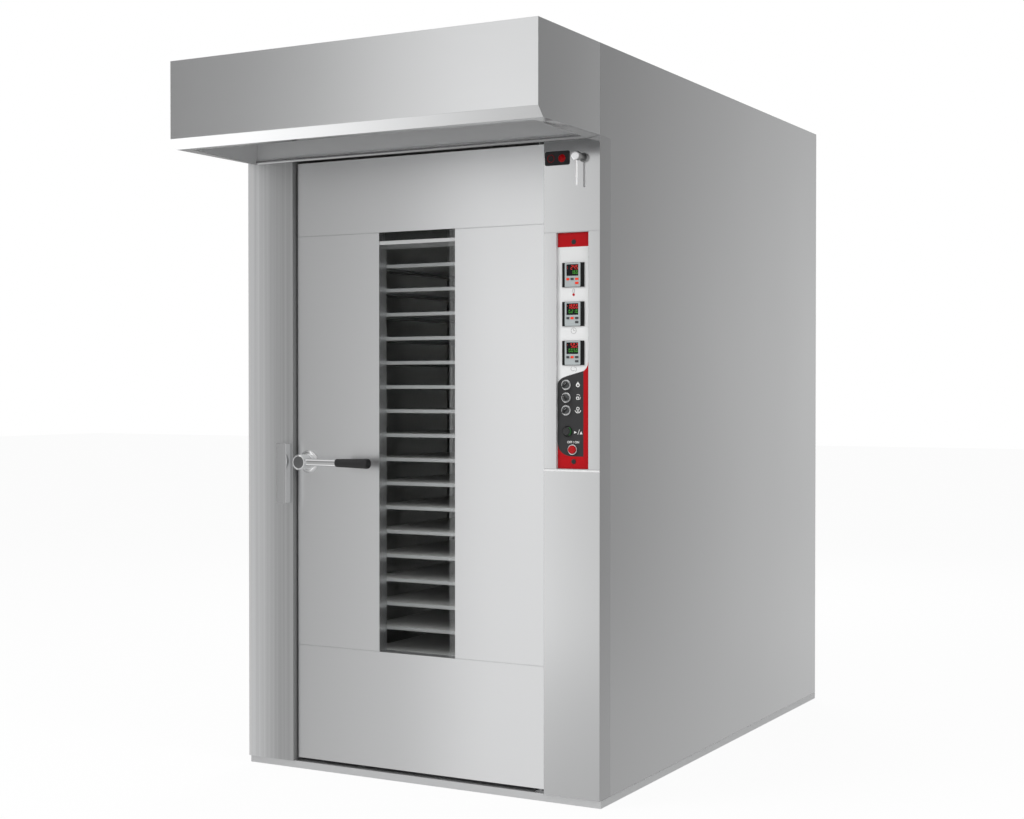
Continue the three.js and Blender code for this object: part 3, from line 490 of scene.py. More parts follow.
def make_finishes():
    settings = bpy.context.scene.oven_finish
    make_surface_group()
    make_steels(Vector(settings.steel), settings.steel_roughness)
    make_sheet_metals()
    # Name, colour, roughness, fine grain and its strength, broad drift and its strength, spread, bump, gloss.
    for name, colour, rough, fine_scale, fine, broad_scale, broad, spread, bump, specular in (
        ("Grey paint", (0.2, 0.22, 0.24), 0.42, 300, 0.08, 8, 0.1, 0.1, 0.18, 0.5),
        ("Black grip", (0.02, 0.02, 0.021), 0.46, 900, 0.1, 40, 0.12, 0.1, 0.12, 0.3),
        ("Black moulding", (0.009, 0.009, 0.009), 0.42, 700, 0.08, 30, 0.1, 0.1, 0.08, 0.22),
        ("Grey moulding", (0.075, 0.078, 0.08), 0.36, 700, 0.06, 30, 0.1, 0.08, 0.06, 0.3),
        ("Dark moulding", (0.024, 0.024, 0.025), 0.45, 700, 0.06, 30, 0.1, 0.08, 0.06, 0.2),
        ("Silicone", (0.085, 0.085, 0.087), 0.62, 250, 0.12, 12, 0.16, 0.1, 0.12, 0.5),
        ("White film", settings.white, 0.36, 900, 0.015, 9, 0.02, 0.06, 0.02, 0.25),
        ("Red film", settings.red, 0.32, 900, 0.03, 12, 0.05, 0.06, 0.02, 0.12),
        ("Charcoal film", settings.charcoal, 0.4, 900, 0.05, 12, 0.06, 0.06, 0.02, 0.12),
        ("Grey face", (0.4, 0.435, 0.44), 0.36, 800, 0.03, 25, 0.05, 0.06, 0.03, 0.5),
        ("Printed grey", (0.34, 0.34, 0.34), 0.4, 700, 0.03, 20, 0.04, 0.05, 0, 0.5),
        ("Printed white", (0.78, 0.78, 0.77), 0.4, 700, 0.02, 20, 0.03, 0.05, 0, 0.5),
        ("Red key", (0.84, 0.05, 0.02), 0.35, 700, 0.04, 60, 0.06, 0.06, 0.03, 0.2),
        ("Dark key", (0.05, 0.052, 0.055), 0.4, 700, 0.05, 60, 0.08, 0.06, 0.03, 0.5),
        ("Display window", (0.004, 0.004, 0.005), 0.16, 400, 0.05, 20, 0.06, 0.04, 0, 0.16),
        ("Red lens", (0.33, 0.003, 0.005), 0.3, 300, 0.06, 90, 0.12, 0.06, 0.03, 0.12),
        ("Dark red ring", (0.2, 0.008, 0.01), 0.35, 300, 0.06, 90, 0.12, 0.06, 0.03, 0.12),
    ):
        varied(name, colour, rough, fine_scale, fine, broad_scale, broad, spread, bump, specular=specular)
    varied("Red cap", (0.41, 0.006, 0.009), 0.26, 500, 0.03, 50, 0.06, 0.06, 0.02, coat=0.1, specular=0.2)
    make_lit("Red numbers", (1.0, 0.02, 0.014))
    make_lit("Green numbers", (0.05, 0.4, 0.02))
    make_lit("Green lamp", (0.02, 0.17, 0.03))
    make_glass()
    make_pane_edge()


def make_steels(steel, dull):
    """The brushed casing sheets, which share one colour and roughness and differ in tone and grain; some carry
    painted light, shade or reflection.
    """
    upright, level, even, streaked = (700, 700, 5), (5, 700, 700), (1.6, 1.6, 1.1), (95, 95, 0.35)
    # Name, tone, roughness, grain and its strength, broad drift and its strength, spread, bump, metallic share.
    for name, tone, rough, grain, fine, drift, broad, spread, bump, metallic in (
        ("Level brushed steel", 1.22, dull, level, 0.025, even, 0.03, 0.05, 0, 1),
        ("Column steel", 0.85, dull - 0.09, upright, 0.025, even, 0.03, 0.04, 0, 1),
        ("Keeper steel", 1.1, dull - 0.1, upright, 0.03, even, 0.03, 0.03, 0, 1),
        ("Door steel", 1.1, dull + 0.1, level, 0.025, even, 0.03, 0.05, 0, 1),
        ("Side steel", 0.94, dull + 0.02, upright, 0.03, even, 0.03, 0.05, 0, 1),
        ("Column side steel", 0.84, dull + 0.02, upright, 0.03, even, 0.03, 0.05, 0, 1),
        ("Cover steel", 0.86, dull + 0.06, upright, 0.03, even, 0.04, 0.05, 0, 1),
        ("Plinth steel", 1.08, dull + 0.2, level, 0.03, even, 0.04, 0.06, 0, 0.9),
        ("Hood lining steel", 0.84, 0.46, level, 0.04, even, 0.06, 0.08, 0, 0.35),
        # Painted light: a matt grey for the jamb's faces in the shaded gap beside the door.
        ("Return steel", 0.36, 0.5, upright, 0.04, even, 0.06, 0.08, 0, 0.2),
        # Painted shade: a dark finish for the hood's back fold.
        ("Hood fold steel", 0.52, 0.17, upright, 0.04, even, 0.06, 0.06, 0, 0.85),
        ("Window trim steel", 0.86, 0.22, upright, 0.04, even, 0.06, 0.06, 0, 0.8),
        ("Streaked steel", 1.04, dull + 0.2, upright, 0.05, streaked, 0.42, 0.12, 0.012, 1),
        ("Bright steel", 1.02, 0.26, upright, 0.04, even, 0.05, 0.05, 0.02, 0.8),
    ):
        varied(name, steel * tone, rough, grain, fine, drift, broad, spread, bump, metallic)
    door = FINISHES["Door steel"].node_tree.nodes["Principled BSDF"]
    door.inputs["Anisotropic"].default_value = 0.8
    door.inputs["Anisotropic Rotation"].default_value = 0.25
    # Painted reflection: the door darker at its left and paler at its right, the jamb paler at its left and
    # darker at its right.
    add_painted_side_reflection("Door steel", -0.12, 0.3, 0.94, 1.15)
    add_painted_side_reflection("Streaked steel", -0.7, -0.5, 1.42, 0.75)


def make_sheet_metals():
    """The chamber, rack, trays, chrome and small metal parts, with columns as in make_steels; the trays' flats
    carry painted light and shade, the damper rod a painted reflection and the seam strip a painted highlight.
    """
    for name, colour, rough, grain, fine, drift, broad, spread, bump, metallic in (
        # Painted shade on the trays' tops and painted light on their undersides.
        ("Seasoned sheet", (0.36, 0.36, 0.355), 0.55, 60, 0.1, 6, 0.16, 0.12, 0.05, 0.2),
        ("Tray underside", (0.66, 0.66, 0.655), 0.55, 60, 0.08, 6, 0.1, 0.12, 0.05, 0.1),
        ("Tray metal", (0.27, 0.272, 0.275), 0.42, 60, 0.06, 7, 0.12, 0.14, 0.05, 0.3),
        ("Chamber steel", (0.55, 0.545, 0.535), 0.4, (700, 700, 5), 0.1, (3, 3, 2), 0.22, 0.16, 0.05, 0.6),
        ("Rack steel", (0.56, 0.56, 0.555), 0.32, (700, 700, 5), 0.1, 4, 0.12, 0.12, 0.05, 1),
        ("Polished chrome", (0.88, 0.885, 0.89), 0.06, 90, 0.02, 9, 0.03, 0.04, 0, 1),
        ("Smoked chrome", (0.26, 0.263, 0.267), 0.12, 90, 0.03, 30, 0.3, 0.05, 0, 1),
        ("Zinc plate", (0.6, 0.61, 0.63), 0.3, 160, 0.12, 30, 0.14, 0.12, 0.05, 1),
        ("Heater sheath", (0.13, 0.12, 0.115), 0.55, (90, 90, 260), 0.2, (11, 11, 4), 0.3, 0.14, 0.2, 0.7),
        # Painted reflection: a near-white finish for the damper's polished rod.
        ("Satin rod", (0.97, 0.97, 0.97), 0.3, (90, 90, 500), 0.03, (20, 20, 9), 0.03, 0.06, 0.03, 0.1),
        # Painted highlight: a near-white finish for the strip along the column's seam.
        ("Seam steel", (0.8, 0.8, 0.8), 0.3, (90, 90, 500), 0.03, (20, 20, 9), 0.03, 0.06, 0.03, 0.1),
    ):
        varied(name, colour, rough, grain, fine, drift, broad, spread, bump, metallic)
    # Painted light at the trays' rims, fading to painted shade towards their middles.
    add_painted_rim_falloff("Seasoned sheet", 0.24, 1.1, 0.4)
    add_painted_rim_falloff("Tray underside", 0.26, 1.35, 0.3)


def varying_colour(name):
    """A varied finish's tree and the colour that its surface group gives."""
    tree = FINISHES[name].node_tree
    return tree, next(node for node in tree.nodes if node.type == "GROUP").outputs["Color"]


def add_painted_side_reflection(name, start, end, first, last):
    """Paints a finish's tone from one side of a sheet to the other: a painted reflection across the sheet."""
    tree, colour = varying_colour(name)
    split = add_node(tree, "SeparateXYZ", {0: stretched(tree, 1)})
    drift = ranged(tree, split.outputs[0], start, end, first, last)
    plug(tree, scaled(tree, colour, drift), tree.nodes["Principled BSDF"].inputs["Base Color"])


def add_painted_rim_falloff(name, reach, rim, middle):
    """Paints a tray sheet paler at its rim and darker towards its middle, over a reach in metres: painted light
    at the rim and painted shade towards the middle.
    """
    tree, colour = varying_colour(name)
    low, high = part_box("tray_01")
    place = add_node(tree, "TexCoord", {}).outputs["Object"]
    centred = add_node(tree, "Mapping", {"Vector": place, "Location": -(low + high) / 2})
    split = add_node(tree, "SeparateXYZ", {0: centred.outputs[0]})
    across, along = (
        maths(tree, "SUBTRACT", (high[axis] - low[axis]) / 2, maths(tree, "ABSOLUTE", split.outputs[axis]))
        for axis in (0, 1)
    )
    drift = ranged(tree, maths(tree, "MINIMUM", across, along), 0, reach, rim, middle, "LINEAR")
    plug(tree, scaled(tree, colour, drift), tree.nodes["Principled BSDF"].inputs["Base Color"])


def make_lit(name, colour):
    """A lit lens: its colour also glows, a little unevenly."""
    shader = varied(name, Vector(colour) * 0.3, 0.3, 600, 0.06, 90, 0.1, 0.08)
    tree, glow = varying_colour(name)
    plug(tree, glow, shader.inputs["Emission Color"])
    shader.inputs["Emission Strength"].default_value = bpy.context.scene.oven_controls.display_glow


def show_mix(tree, share, first, second):
    """Makes a mix of two shaders a material's surface."""
    mix = add_node(tree, "MixShader", {0: share, 1: first.outputs[0], 2: second.outputs[0]})
    output = next(node for node in tree.nodes if node.type == "OUTPUT_MATERIAL")
    tree.links.new(mix.outputs[0], output.inputs["Surface"])


def make_glass():
    """Clear glass that also lets the lamps' light through."""
    tree, shader = blank_material("Oven glass")
    shader.inputs["Base Color"].default_value = (0.93, 0.95, 0.945, 1)
    shader.inputs["Transmission Weight"].default_value = 1
    shader.inputs["IOR"].default_value = 1.1
    smear = noise(tree, stretched(tree, (4, 4, 2.2)), 3.0)
    plug(tree, maths(tree, "MULTIPLY", smear, 0.02), shader.inputs["Roughness"])
    path = tree.nodes.new("ShaderNodeLightPath")
    clear = add_node(tree, "BsdfTransparent", {"Color": (0.9, 0.93, 0.92, 1)})
    show_mix(tree, path.outputs["Is Shadow Ray"], shader, clear)


def make_pane_edge():
    """The pale strip down one side of the window."""
    tree, shader = blank_material("Pane edge")
    drift = noise(tree, stretched(tree, (20, 20, 1.4)))
    plug(tree, maths(tree, "ADD", maths(tree, "MULTIPLY", drift, 0.04), 0.065), shader.inputs["Alpha"])
    shader.inputs["Base Color"].default_value = (0.5, 0.505, 0.505, 1)
    shader.inputs["Roughness"].default_value = 0.5


# ---- Stage --------------------------------------------------------------------------------------------
class OVEN_OT_stage(bpy.types.Operator):
    """Adds the floor, the lamps, the surroundings and the camera"""

    bl_idname = "rack_oven.stage"
    bl_label = "Stage"

    def execute(self, context):
        stage = context.scene.oven_stage
        context.scene.view_settings.view_transform = "Standard"
        self.add_camera(context)
        self.add_floor(stage)
        self.add_sky(context, stage)
        self.add_lamps(stage)
        return {"FINISHED"}

    def add_camera(self, context):
        turn = [math.radians(degrees) for degrees in CAMERA_TURN]
        bpy.ops.object.camera_add(location=CAMERA_PLACE, rotation=turn)
        camera = context.object
        camera.name = "Camera"
        camera.data.sensor_width = SENSOR_WIDTH
        camera.data.lens = FOCAL_PIXELS / IMAGE_WIDTH * SENSOR_WIDTH
        camera.data.clip_end = 100
        context.scene.camera = camera

    def add_floor(self, stage):
        """A pale floor that keeps the oven's shadow and otherwise shows as plain white."""
        deselect()
        bpy.ops.mesh.primitive_plane_add(size=60, location=(0, 0, -0.0005))
        floor = settle(bpy.context.object, "floor")
        tree, shader = blank_material("Floor")
        mottle = maths(tree, "MULTIPLY", noise(tree, stretched(tree, 0.8)), 0.02)
        plug(tree, maths(tree, "ADD", mottle, stage.floor_tone), shader.inputs["Base Color"])
        shader.inputs["Roughness"].default_value = 0.9
        path = tree.nodes.new("ShaderNodeLightPath")
        seen = maths(tree, "MULTIPLY", path.outputs["Is Camera Ray"], stage.floor_glow)
        show_mix(tree, seen, shader, tree.nodes.new("ShaderNodeEmission"))
        give_finish(floor, "Floor")
        floor.visible_glossy = False

    def add_sky(self, context, stage):
        """White to the camera and through glass, a ring of studio tones to metal, even grey to the rest."""
        world = context.scene.world or bpy.data.worlds.new("Surroundings")
        context.scene.world = world
        world.use_nodes = True
        tree = world.node_tree
        tree.nodes.clear()
        direction = add_node(tree, "TexCoord", {}).outputs["Generated"]
        x, y, z = add_node(tree, "SeparateXYZ", {0: direction}).outputs
        turn = maths(tree, "MULTIPLY", maths(tree, "ARCTAN2", x, y), math.degrees(1))
        ring = self.add_curve(tree, turn, STUDIO_RING, -180, 180)
        rise = self.add_curve(tree, z, STUDIO_RISE, -1, 1)
        glossy = maths(tree, "MULTIPLY", ring, rise)
        start, full, most, level = STUDIO_FLOOR
        glossy = blended(tree, ranged(tree, z, start, full, 0, most), glossy, level)
        for centre, inner, outer, level in STUDIO_PANELS:
            centre = Vector(centre).normalized()
            facing = add_node(tree, "VectorMath", {0: direction, 1: centre}, operation="DOT_PRODUCT")
            glossy = blended(tree, ranged(tree, facing.outputs["Value"], outer, inner), glossy, level)
        path = tree.nodes.new("ShaderNodeLightPath").outputs
        strength = blended(tree, path["Is Glossy Ray"], stage.sky_level, glossy)
        clear = maths(tree, "MAXIMUM", path["Is Camera Ray"], path["Is Transmission Ray"])
        strength = blended(tree, clear, strength, 1.0)
        background = add_node(tree, "Background", {"Color": (1, 1, 1, 1), "Strength": strength})
        add_node(tree, "OutputWorld", {0: background.outputs[0]})

    def add_curve(self, tree, value, stops, low, high):
        """A smooth run of grey levels through (place, level) stops."""
        share = maths(tree, "DIVIDE", maths(tree, "SUBTRACT", value, low), high - low)
        curve = add_node(tree, "ValToRGB", {0: share})
        ramp = curve.color_ramp
        ramp.interpolation = "B_SPLINE"
        for index, (at, tone) in enumerate(stops):
            place = (at - low) / (high - low)
            stop = ramp.elements[index] if index < 2 else ramp.elements.new(place)
            stop.position = place
            stop.color = (*[tone / RING_GAIN] * 3, 1)
        return maths(tree, "MULTIPLY", curve.outputs["Color"], RING_GAIN)

    def add_lamps(self, stage):
        """Three round studio lamps, and a wide soft one behind the closed door for the trays' front edges."""
        for name, place, share in (
            ("Main lamp", (-2.6, -4.4, 4.6), 1.0),
            ("Side lamp", (4.6, -1.6, 3.4), 0.5),
            ("Back lamp", (-1.5, 5.0, 4.2), 0.6),
        ):
            lamp = self.add_lamp(name, place, stage.lamp_power * share, "DISK", (3.0,))
            aim = Vector((0, 0, 1.1)) - Vector(place)
            lamp.rotation_euler = aim.to_track_quat("-Z", "Y").to_euler()
        lamp = self.add_lamp("Chamber lamp", mm(0, 122, 1090), stage.chamber_power, "RECTANGLE", (0.8, 1.6))
        lamp.rotation_euler = (math.radians(90), 0, 0)
        lamp.visible_camera = False

    def add_lamp(self, name, place, power, shape, sizes):
        deselect()
        bpy.ops.object.light_add(type="AREA", location=place)
        lamp = bpy.context.object
        lamp.name = name
        lamp.data.shape = shape
        lamp.data.energy = power
        for side, size in zip(("size", "size_y"), sizes):
            setattr(lamp.data, side, size)
        lamp.visible_glossy = False
        lamp.visible_transmission = False
        return lamp


# ---- Casing -------------------------------------------------------------------------------------------
class OVEN_OT_casing(bpy.types.Operator):
    """Rounds the folds of the casing sheets and gives them brushed finishes"""

    bl_idname = "rack_oven.casing"
    bl_label = "Casing"

    def execute(self, context):
        for node, name, width, material in (
            ("base_frame", "plinth", 1.5, "Plinth steel"),
            ("left_jamb", "left_jamb_sheet", 1.2, "Streaked steel"),
            ("control_column", "column_sheet", 0.5, "Column steel"),
            ("left_side_wall", "left_side_sheet", 0.8, "Side steel"),
            ("right_side_wall", "right_side_sheet", 0.8, "Side steel"),
            ("rear_panel", "rear_sheet", 0.5, "Side steel"),
            ("hood", "hood_shell", 1.2, "Level brushed steel"),
            ("chamber_ceiling", "ceiling_lining", 1.0, "Chamber steel"),
            ("chamber_back_wall", "back_lining", 1.0, "Chamber steel"),
            ("air_diffuser", "diffuser_sheet", 0.6, "Chamber steel"),
            ("door_casing", "door_shell", 0.8, "Bright steel"),
            ("door_front_upper", "door_sheet_upper", 0.5, "Door steel"),
            ("door_front_lower", "door_sheet_lower", 0.5, "Door steel"),
            ("door_front_left", "door_sheet_left", 0.5, "Door steel"),
            ("door_front_right", "door_sheet_right", 0.5, "Door steel"),
            ("window_liner", "window_liner_sheet", 0.8, "Window trim steel"),
            ("latch_keeper", "keeper_block", 1.0, "Keeper steel"),
            ("heater_bank", "heater_tubes", 0.0, "Heater sheath"),
            ("fan_wheel", "fan_rotor", 0.4, "Rack steel"),
            ("rack_side_left", "rack_posts_left", 1.0, "Rack steel"),
            ("rack_side_right", "rack_posts_right", 1.0, "Rack steel"),
            ("rack_top", "rack_head", 1.0, "Rack steel"),
            ("rack_base", "rack_foot", 1.0, "Rack steel"),
            ("drive_shaft", "hook_shaft", 0.8, "Polished chrome"),
            ("upper_pivot", "pivot_above", 0.6, "Smoked chrome"),
            ("lower_pivot", "pivot_below", 0.6, "Smoked chrome"),
            ("indicator_plate", "lamp_plate", 0.5, "Dark moulding"),
        ):
            rounded_node(node, name, width, material)
        self.finish_right_faces()
        # A near-white strip along the column's lower seam: a painted highlight on the seam's edge.
        lip = soften(block("column_seam_lip", (468.7, -0.5, 1014.4), (657.3, 0, 1019.8)), 0.45, 3)
        dress(lip, "Seam steel", "cabinet")
        self.line_hood()
        self.lower_window_head()
        self.add_trays()
        return {"FINISHED"}

    def finish_right_faces(self):
        """Gives the column's faces to the right their own tone and the panel recess a third; the jamb's faces to
        the right get a matt grey, painted light in the shaded gap beside the door.
        """
        recess_end = 600 * UNIT
        for name, *materials in (
            ("column_sheet", "Column side steel", "Hood lining steel"), ("left_jamb_sheet", "Return steel"),
        ):
            sheet = bpy.data.objects[name].data
            for material in materials:
                sheet.materials.append(FINISHES[material])
            for face in sheet.polygons:
                if face.normal.x > 0.7:
                    in_recess = name == "column_sheet" and face.center.x < recess_end
                    face.material_index = 2 if in_recess else 1

    def line_hood(self):
        """Gives the hood's inside a duller finish, draws its back fold down over the door's gap and gives that
        fold a dark finish, painted shade under the hood.
        """
        hood = bpy.data.objects["hood_shell"].data
        # Heights in mm on the fold as it is, and where each goes.
        bends = ((2024.0, 2016.5), (2029.0, 2021.0), (2031.0, 2028.0), (2036.0, 2033.0))
        fold_top, fold_side, last_bend = 2037, 617 * UNIT, bends[-1][0]
        front, back = mm(0, -11.5, 0).y, mm(0, -3.5, 0).y
        for vertex in hood.vertices:
            height = vertex.co.z / UNIT
            if front < vertex.co.y < back and abs(vertex.co.x) < fold_side and height < fold_top:
                for (low, new_low), (high, new_high) in zip(bends, bends[1:]):
                    if height < high or high == last_bend:
                        share = (height - low) / (high - low)
                        vertex.co.z = (new_low + share * (new_high - new_low)) * UNIT
                        break
        # The fold under the lining gets the dark fold finish: painted shade on the hood's back fold.
        for material in ("Hood lining steel", "Hood fold steel"):
            hood.materials.append(FINISHES[material])
        low, high = mm(-618, -336, 2012), mm(618, -1, 2281)
        lining_start = 2028 * UNIT
        for face in hood.polygons:
            if all(low[axis] < face.center[axis] < high[axis] for axis in range(3)):
                face.material_index = 1 if face.center.z > lining_start else 2

    def lower_window_head(self):
        """Sets the window liner's head a little lower, below the air slot."""
        head_start, drop = 1700 * UNIT, 4 * UNIT
        for vertex in bpy.data.objects["window_liner_sheet"].data.vertices:
            if vertex.co.z > head_start:
                vertex.co.z -= drop

    def add_trays(self):
        """The CAD trays, then three more with their rails on the rack's lowest levels."""
        solid_trays, more_trays = 16, 3
        for number in range(1, solid_trays + 1):
            tray = rounded_node(f"tray_{number:02d}", f"baking_tray_{number:02d}", 0.7, "Tray metal")
            self.season(tray)
        lowest = bpy.data.objects["baking_tray_01"]
        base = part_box("tray_01")[0].z / UNIT
        pitch = (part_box("tray_02")[0].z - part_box("tray_01")[0].z) / UNIT
        rails = []
        for extra in range(1, more_trays + 1):
            tray = moved_copy(lowest, f"baking_tray_{solid_trays + extra}", (0, 0, -pitch * extra))
            dress(tray, "Tray metal", "rotor")
            self.season(tray)
            top = base - pitch * extra - 0.3
            for x0, x1 in ((-427, -380), (380, 427)):
                rails.append(block("rail", (x0, 345, top - 3), (x1, 945, top)))
        dress(soften(combine("rack_rails_lower", rails), 0.6), "Rack steel", "rotor")

    def season(self, tray):
        """Paints the flat of a tray darker above and paler below, painted shade and painted light for how the
        rack is lit, and both paler again near the rim; the rim's own faces keep the tray finish.
        """
        for material in ("Seasoned sheet", "Tray underside"):
            tray.data.materials.append(FINISHES[material])
        least_flat = 0.1
        # Tops take the painted shade, undersides the painted light.
        for face in tray.data.polygons:
            if face.area > least_flat:
                face.material_index = 1 if face.normal.z > 0 else 2


# ---- Door ---------------------------------------------------------------------------------------------
class OVEN_OT_door(bpy.types.Operator):
    """Adds the door's seam fillers, the window's pale pane edge and the rounded door seal"""

    bl_idname = "rack_oven.door"
    bl_label = "Door details"

    def execute(self, context):
        left, right = (corner.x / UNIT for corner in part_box("door_casing"))
        window_side = 142.5
        strips = [
            block("seam", (x0, 18.0, z + 0.04), (x1, 20.2, z + 1.96))
            for z in (412.0, 1768.0) for x0, x1 in ((left, -window_side), (window_side, right))
        ]
        fillers = soften(combine("door_seam_fillers", strips), 0.6, 4)
        dress(fillers, "Door steel", "door")
        strip = soften(block("window_pane_edge", (122, 19.2, 412.4), (142.2, 20.6, 1769.6)), 0.3)
        dress(strip, "Pane edge", "door")
        rounded_node("door_gasket", "door_seal", 1.9, "Silicone", 4)
        return {"FINISHED"}


class OVEN_OT_handle(bpy.types.Operator):
    """Adds the lever with its boss, the black grip and the rosette"""

    bl_idname = "rack_oven.handle"
    bl_label = "Door handle"

    def execute(self, context):
        x, z, front, arm_y = -418.0, 1023.5, -47.3, -28.55
        boss = spun(
            "lever_arm",
            ((0, 1.2), (19.5, 1.2), (20.5, 0.6), (21.6, 0), (23.4, 0.2), (24.6, 1.1), (25, 2.8), (25, 55),
             (0, 55)),
            (x, front, z), "y", 72,
        )
        arm = spun("arm", ((0, 0), (12.5, 0), (12.5, 139), (11.6, 139.9), (0, 139.9)), (x, arm_y, z), "x", 56)
        spindle = spun("spindle", ((0, 0), (8, 0), (8, 53), (0, 53)), (x, 7, z), "y", 40)
        cam = soften(block("cam", (-464, 50.2, z - 11), (-407, 59.8, z + 11)), 1.5)
        for part in (arm, spindle, cam):
            boolean(boss, part, "UNION")
        smooth(boss, 28)
        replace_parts(dress(boss, "Polished chrome", "door_handle"), "handle_lever")
        disc = spun(
            "lever_cap_disc", ((0, -0.15), (19.2, -0.15), (19.6, 0.2), (19.6, 1.4), (0, 1.4)),
            (x, front + 0.4, z), "y", 60,
        )
        dress(disc, "Smoked chrome", "door_handle")
        grip = spun(
            "lever_grip",
            ((0, 0), (11.6, 0), (12.8, 0.7), (13.2, 2.2), (13.8, 30), (14.9, 72), (16.1, 108), (16.5, 117),
             (16.3, 121), (15.2, 124.3), (13.2, 125.8), (11.5, 126), (0, 126)),
            (-278, arm_y, z), "x", 56,
        )
        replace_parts(dress(grip, "Black grip", "door_handle"), "handle_grip")
        rosette = spun(
            "lever_rosette",
            ((8.5, 10), (38, 10), (38, 6.5), (37.2, 4.2), (35.4, 2.2), (33, 0.8), (30.5, 0.2), (27, 0), (8.5, 0)),
            (x, 8, z), "y", 80, ring=True,
        )
        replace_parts(dress(rosette, "Polished chrome", "door"), "handle_rosette")
        return {"FINISHED"}


# ---- Faceplate ----------------------------------------------------------------------------------------
class OVEN_OT_faceplate(bpy.types.Operator):
    """Adds the film's red and charcoal fields, the screws, the bezels and the printed signs"""

    bl_idname = "rack_oven.faceplate"
    bl_label = "Faceplate"

    def execute(self, context):
        self.add_fields()
        self.add_screws()
        self.add_bezels()
        self.add_signs()
        return {"FINISHED"}

    def add_fields(self):
        low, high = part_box("control_panel")
        margin, film = 0.4, 0.25
        left, right = low.x / UNIT + margin, high.x / UNIT - margin
        bottom, top = low.z / UNIT + margin, high.z / UNIT - margin
        red = [
            (left, top), (right, top), (right, bottom), (left, bottom), (left, 1180), (598.8, 1180),
            (598.8, 1318.7), (603, 1322), (607, 1326), (610.5, 1331.5), (613.2, 1338), (614.6, 1346),
            (615.2, 1356), (615.2, 1694.3), (left, 1694.3),
        ]
        field = flat_shape("film_red_field", [red], PANEL_FACE, film)
        dress(field, "Red film", "cabinet")
        charcoal = [
            (left, 1279), (512.6, 1283.5), (514.7, 1287.3), (517.8, 1291.2), (522, 1294.8), (527.5, 1298),
            (534, 1300.8), (541, 1303.1), (552.3, 1306.3), (566.3, 1310), (585.9, 1315.3), (598.8, 1318.7),
            (598.8, 1060.2), (557.9, 1060.4), (550, 1061.1), (543.8, 1062.4), (536, 1065), (529, 1068.8),
            (523, 1073.6), (518, 1079.6), (514.4, 1086.8), (512.2, 1095), (left, 1104),
        ]
        field = flat_shape("film_charcoal_field", [charcoal], PANEL_FACE - film, film)
        dress(field, "Charcoal film", "cabinet")

    def add_screws(self):
        upper, lower = 1708.9, 1044.7
        first = spun(
            "faceplate_screw_top",
            ((0, -1.4), (2.6, -1.4), (2.6, -3.0), (4.4, -3.0), (6.2, -2.5), (7.3, -1.5), (7.6, -0.4),
             (7.6, 0), (0, 0)),
            (565.8, PANEL_FACE, upper), "y", 36,
        )
        second = moved_copy(first, "faceplate_screw_bottom", (0, 0, lower - upper))
        for screw in (first, second):
            dress(screw, "Charcoal film", "cabinet")

    def add_bezels(self):
        places = [(x, z) for _, _, x, z, _ in SELECTORS] + [START_BUTTON, POWER_BUTTON]
        profile = (
            (15.9, 0), (15.9, -3.2), (15.5, -4.3), (14.6, -4.9), (13.6, -4.9), (12.9, -4.5), (12.4, -3.9),
            (12.25, -3.0), (12.25, 0),
        )
        for name, (x, z) in zip(("light", "steam", "fan", "start", "power"), places):
            bezel = spun(name + "_bezel", profile, (x, PANEL_FACE, z), "y", 48, ring=True)
            black = name == "start"
            dress(
                bezel, "Black moulding" if black else "Polished chrome", "cabinet",
            )

    def add_signs(self):
        """Plain signs: thermometer, clock and steam in grey, then drop, steam and lamp in white."""
        y, print_depth = PANEL_FACE, 0.3
        bulb = flat_shape("sign_thermometer_bulb", [circle(565.5, 1549.6, 4.2)], y, print_depth)
        dress(bulb, "Red film", "cabinet")
        grey = [
            rounded_rectangle(561.9, 569.1, 1554.2, 1568, 3.5),
            rounded_rectangle(563.2, 567.8, 1555.4, 1566.7, 2.2),
            circle(565.6, 1440.8, 9.4), circle(565.6, 1440.8, 8.2),
            [(565.0, 1440), (566.2, 1440), (566.2, 1447.4), (565.0, 1447.4)],
            [(566.4, 1440), (571.4, 1440), (571.4, 1441.2), (566.4, 1441.2)],
            arc_band(563.2, 1326, 6.2, 7.5, 2.2, 3.4), arc_band(568.4, 1324, 6.2, 7.5, -1.2, 3.0),
        ]
        dress(flat_shape("signs_grey", grey, y, print_depth), "Printed grey", "cabinet")
        x, y = 580.2, PANEL_FACE - 0.5
        white = [
            [(x, 1286.8), *circle(x, 1276.2, 6.4, 20, 0.75, -math.tau * 0.74)], circle(x, 1275.6, 3.0, 16),
            rounded_rectangle(x - 5.6, x + 4.2, 1232.2, 1241.2, 1.6),
            rounded_rectangle(x - 3.4, x + 2.0, 1234.2, 1238.8, 1.0),
            arc_band(x + 0.6, 1241.6, 5.6, 7.0, 0.2, 2.2), arc_band(x + 2.2, 1238.4, 5.4, 6.8, -1.2, 1.5),
            circle(x, 1205, 5.4, 24), circle(x, 1205, 3.4, 20),
            arc_band(x, 1202, 8.6, 10.8, math.pi * 1.06, math.pi * 0.88),
            [(x - 3, 1196.2), (x + 3, 1196.2), (x + 3, 1198.4), (x - 3, 1198.4)],
            [(567.6, 1129.4), (577.4, 1133.2), (567.6, 1137)],
            [(579.0, 1126.5), (580.6, 1126.5), (586.6, 1142), (585.0, 1142)],
            [(586.4, 1127.6), (596, 1127.6), (591.2, 1136.6)],
        ]
        dress(flat_shape("signs_white", white, y, print_depth), "Printed white", "cabinet")
        self.add_switch_words((564.5, y, 1100.2))

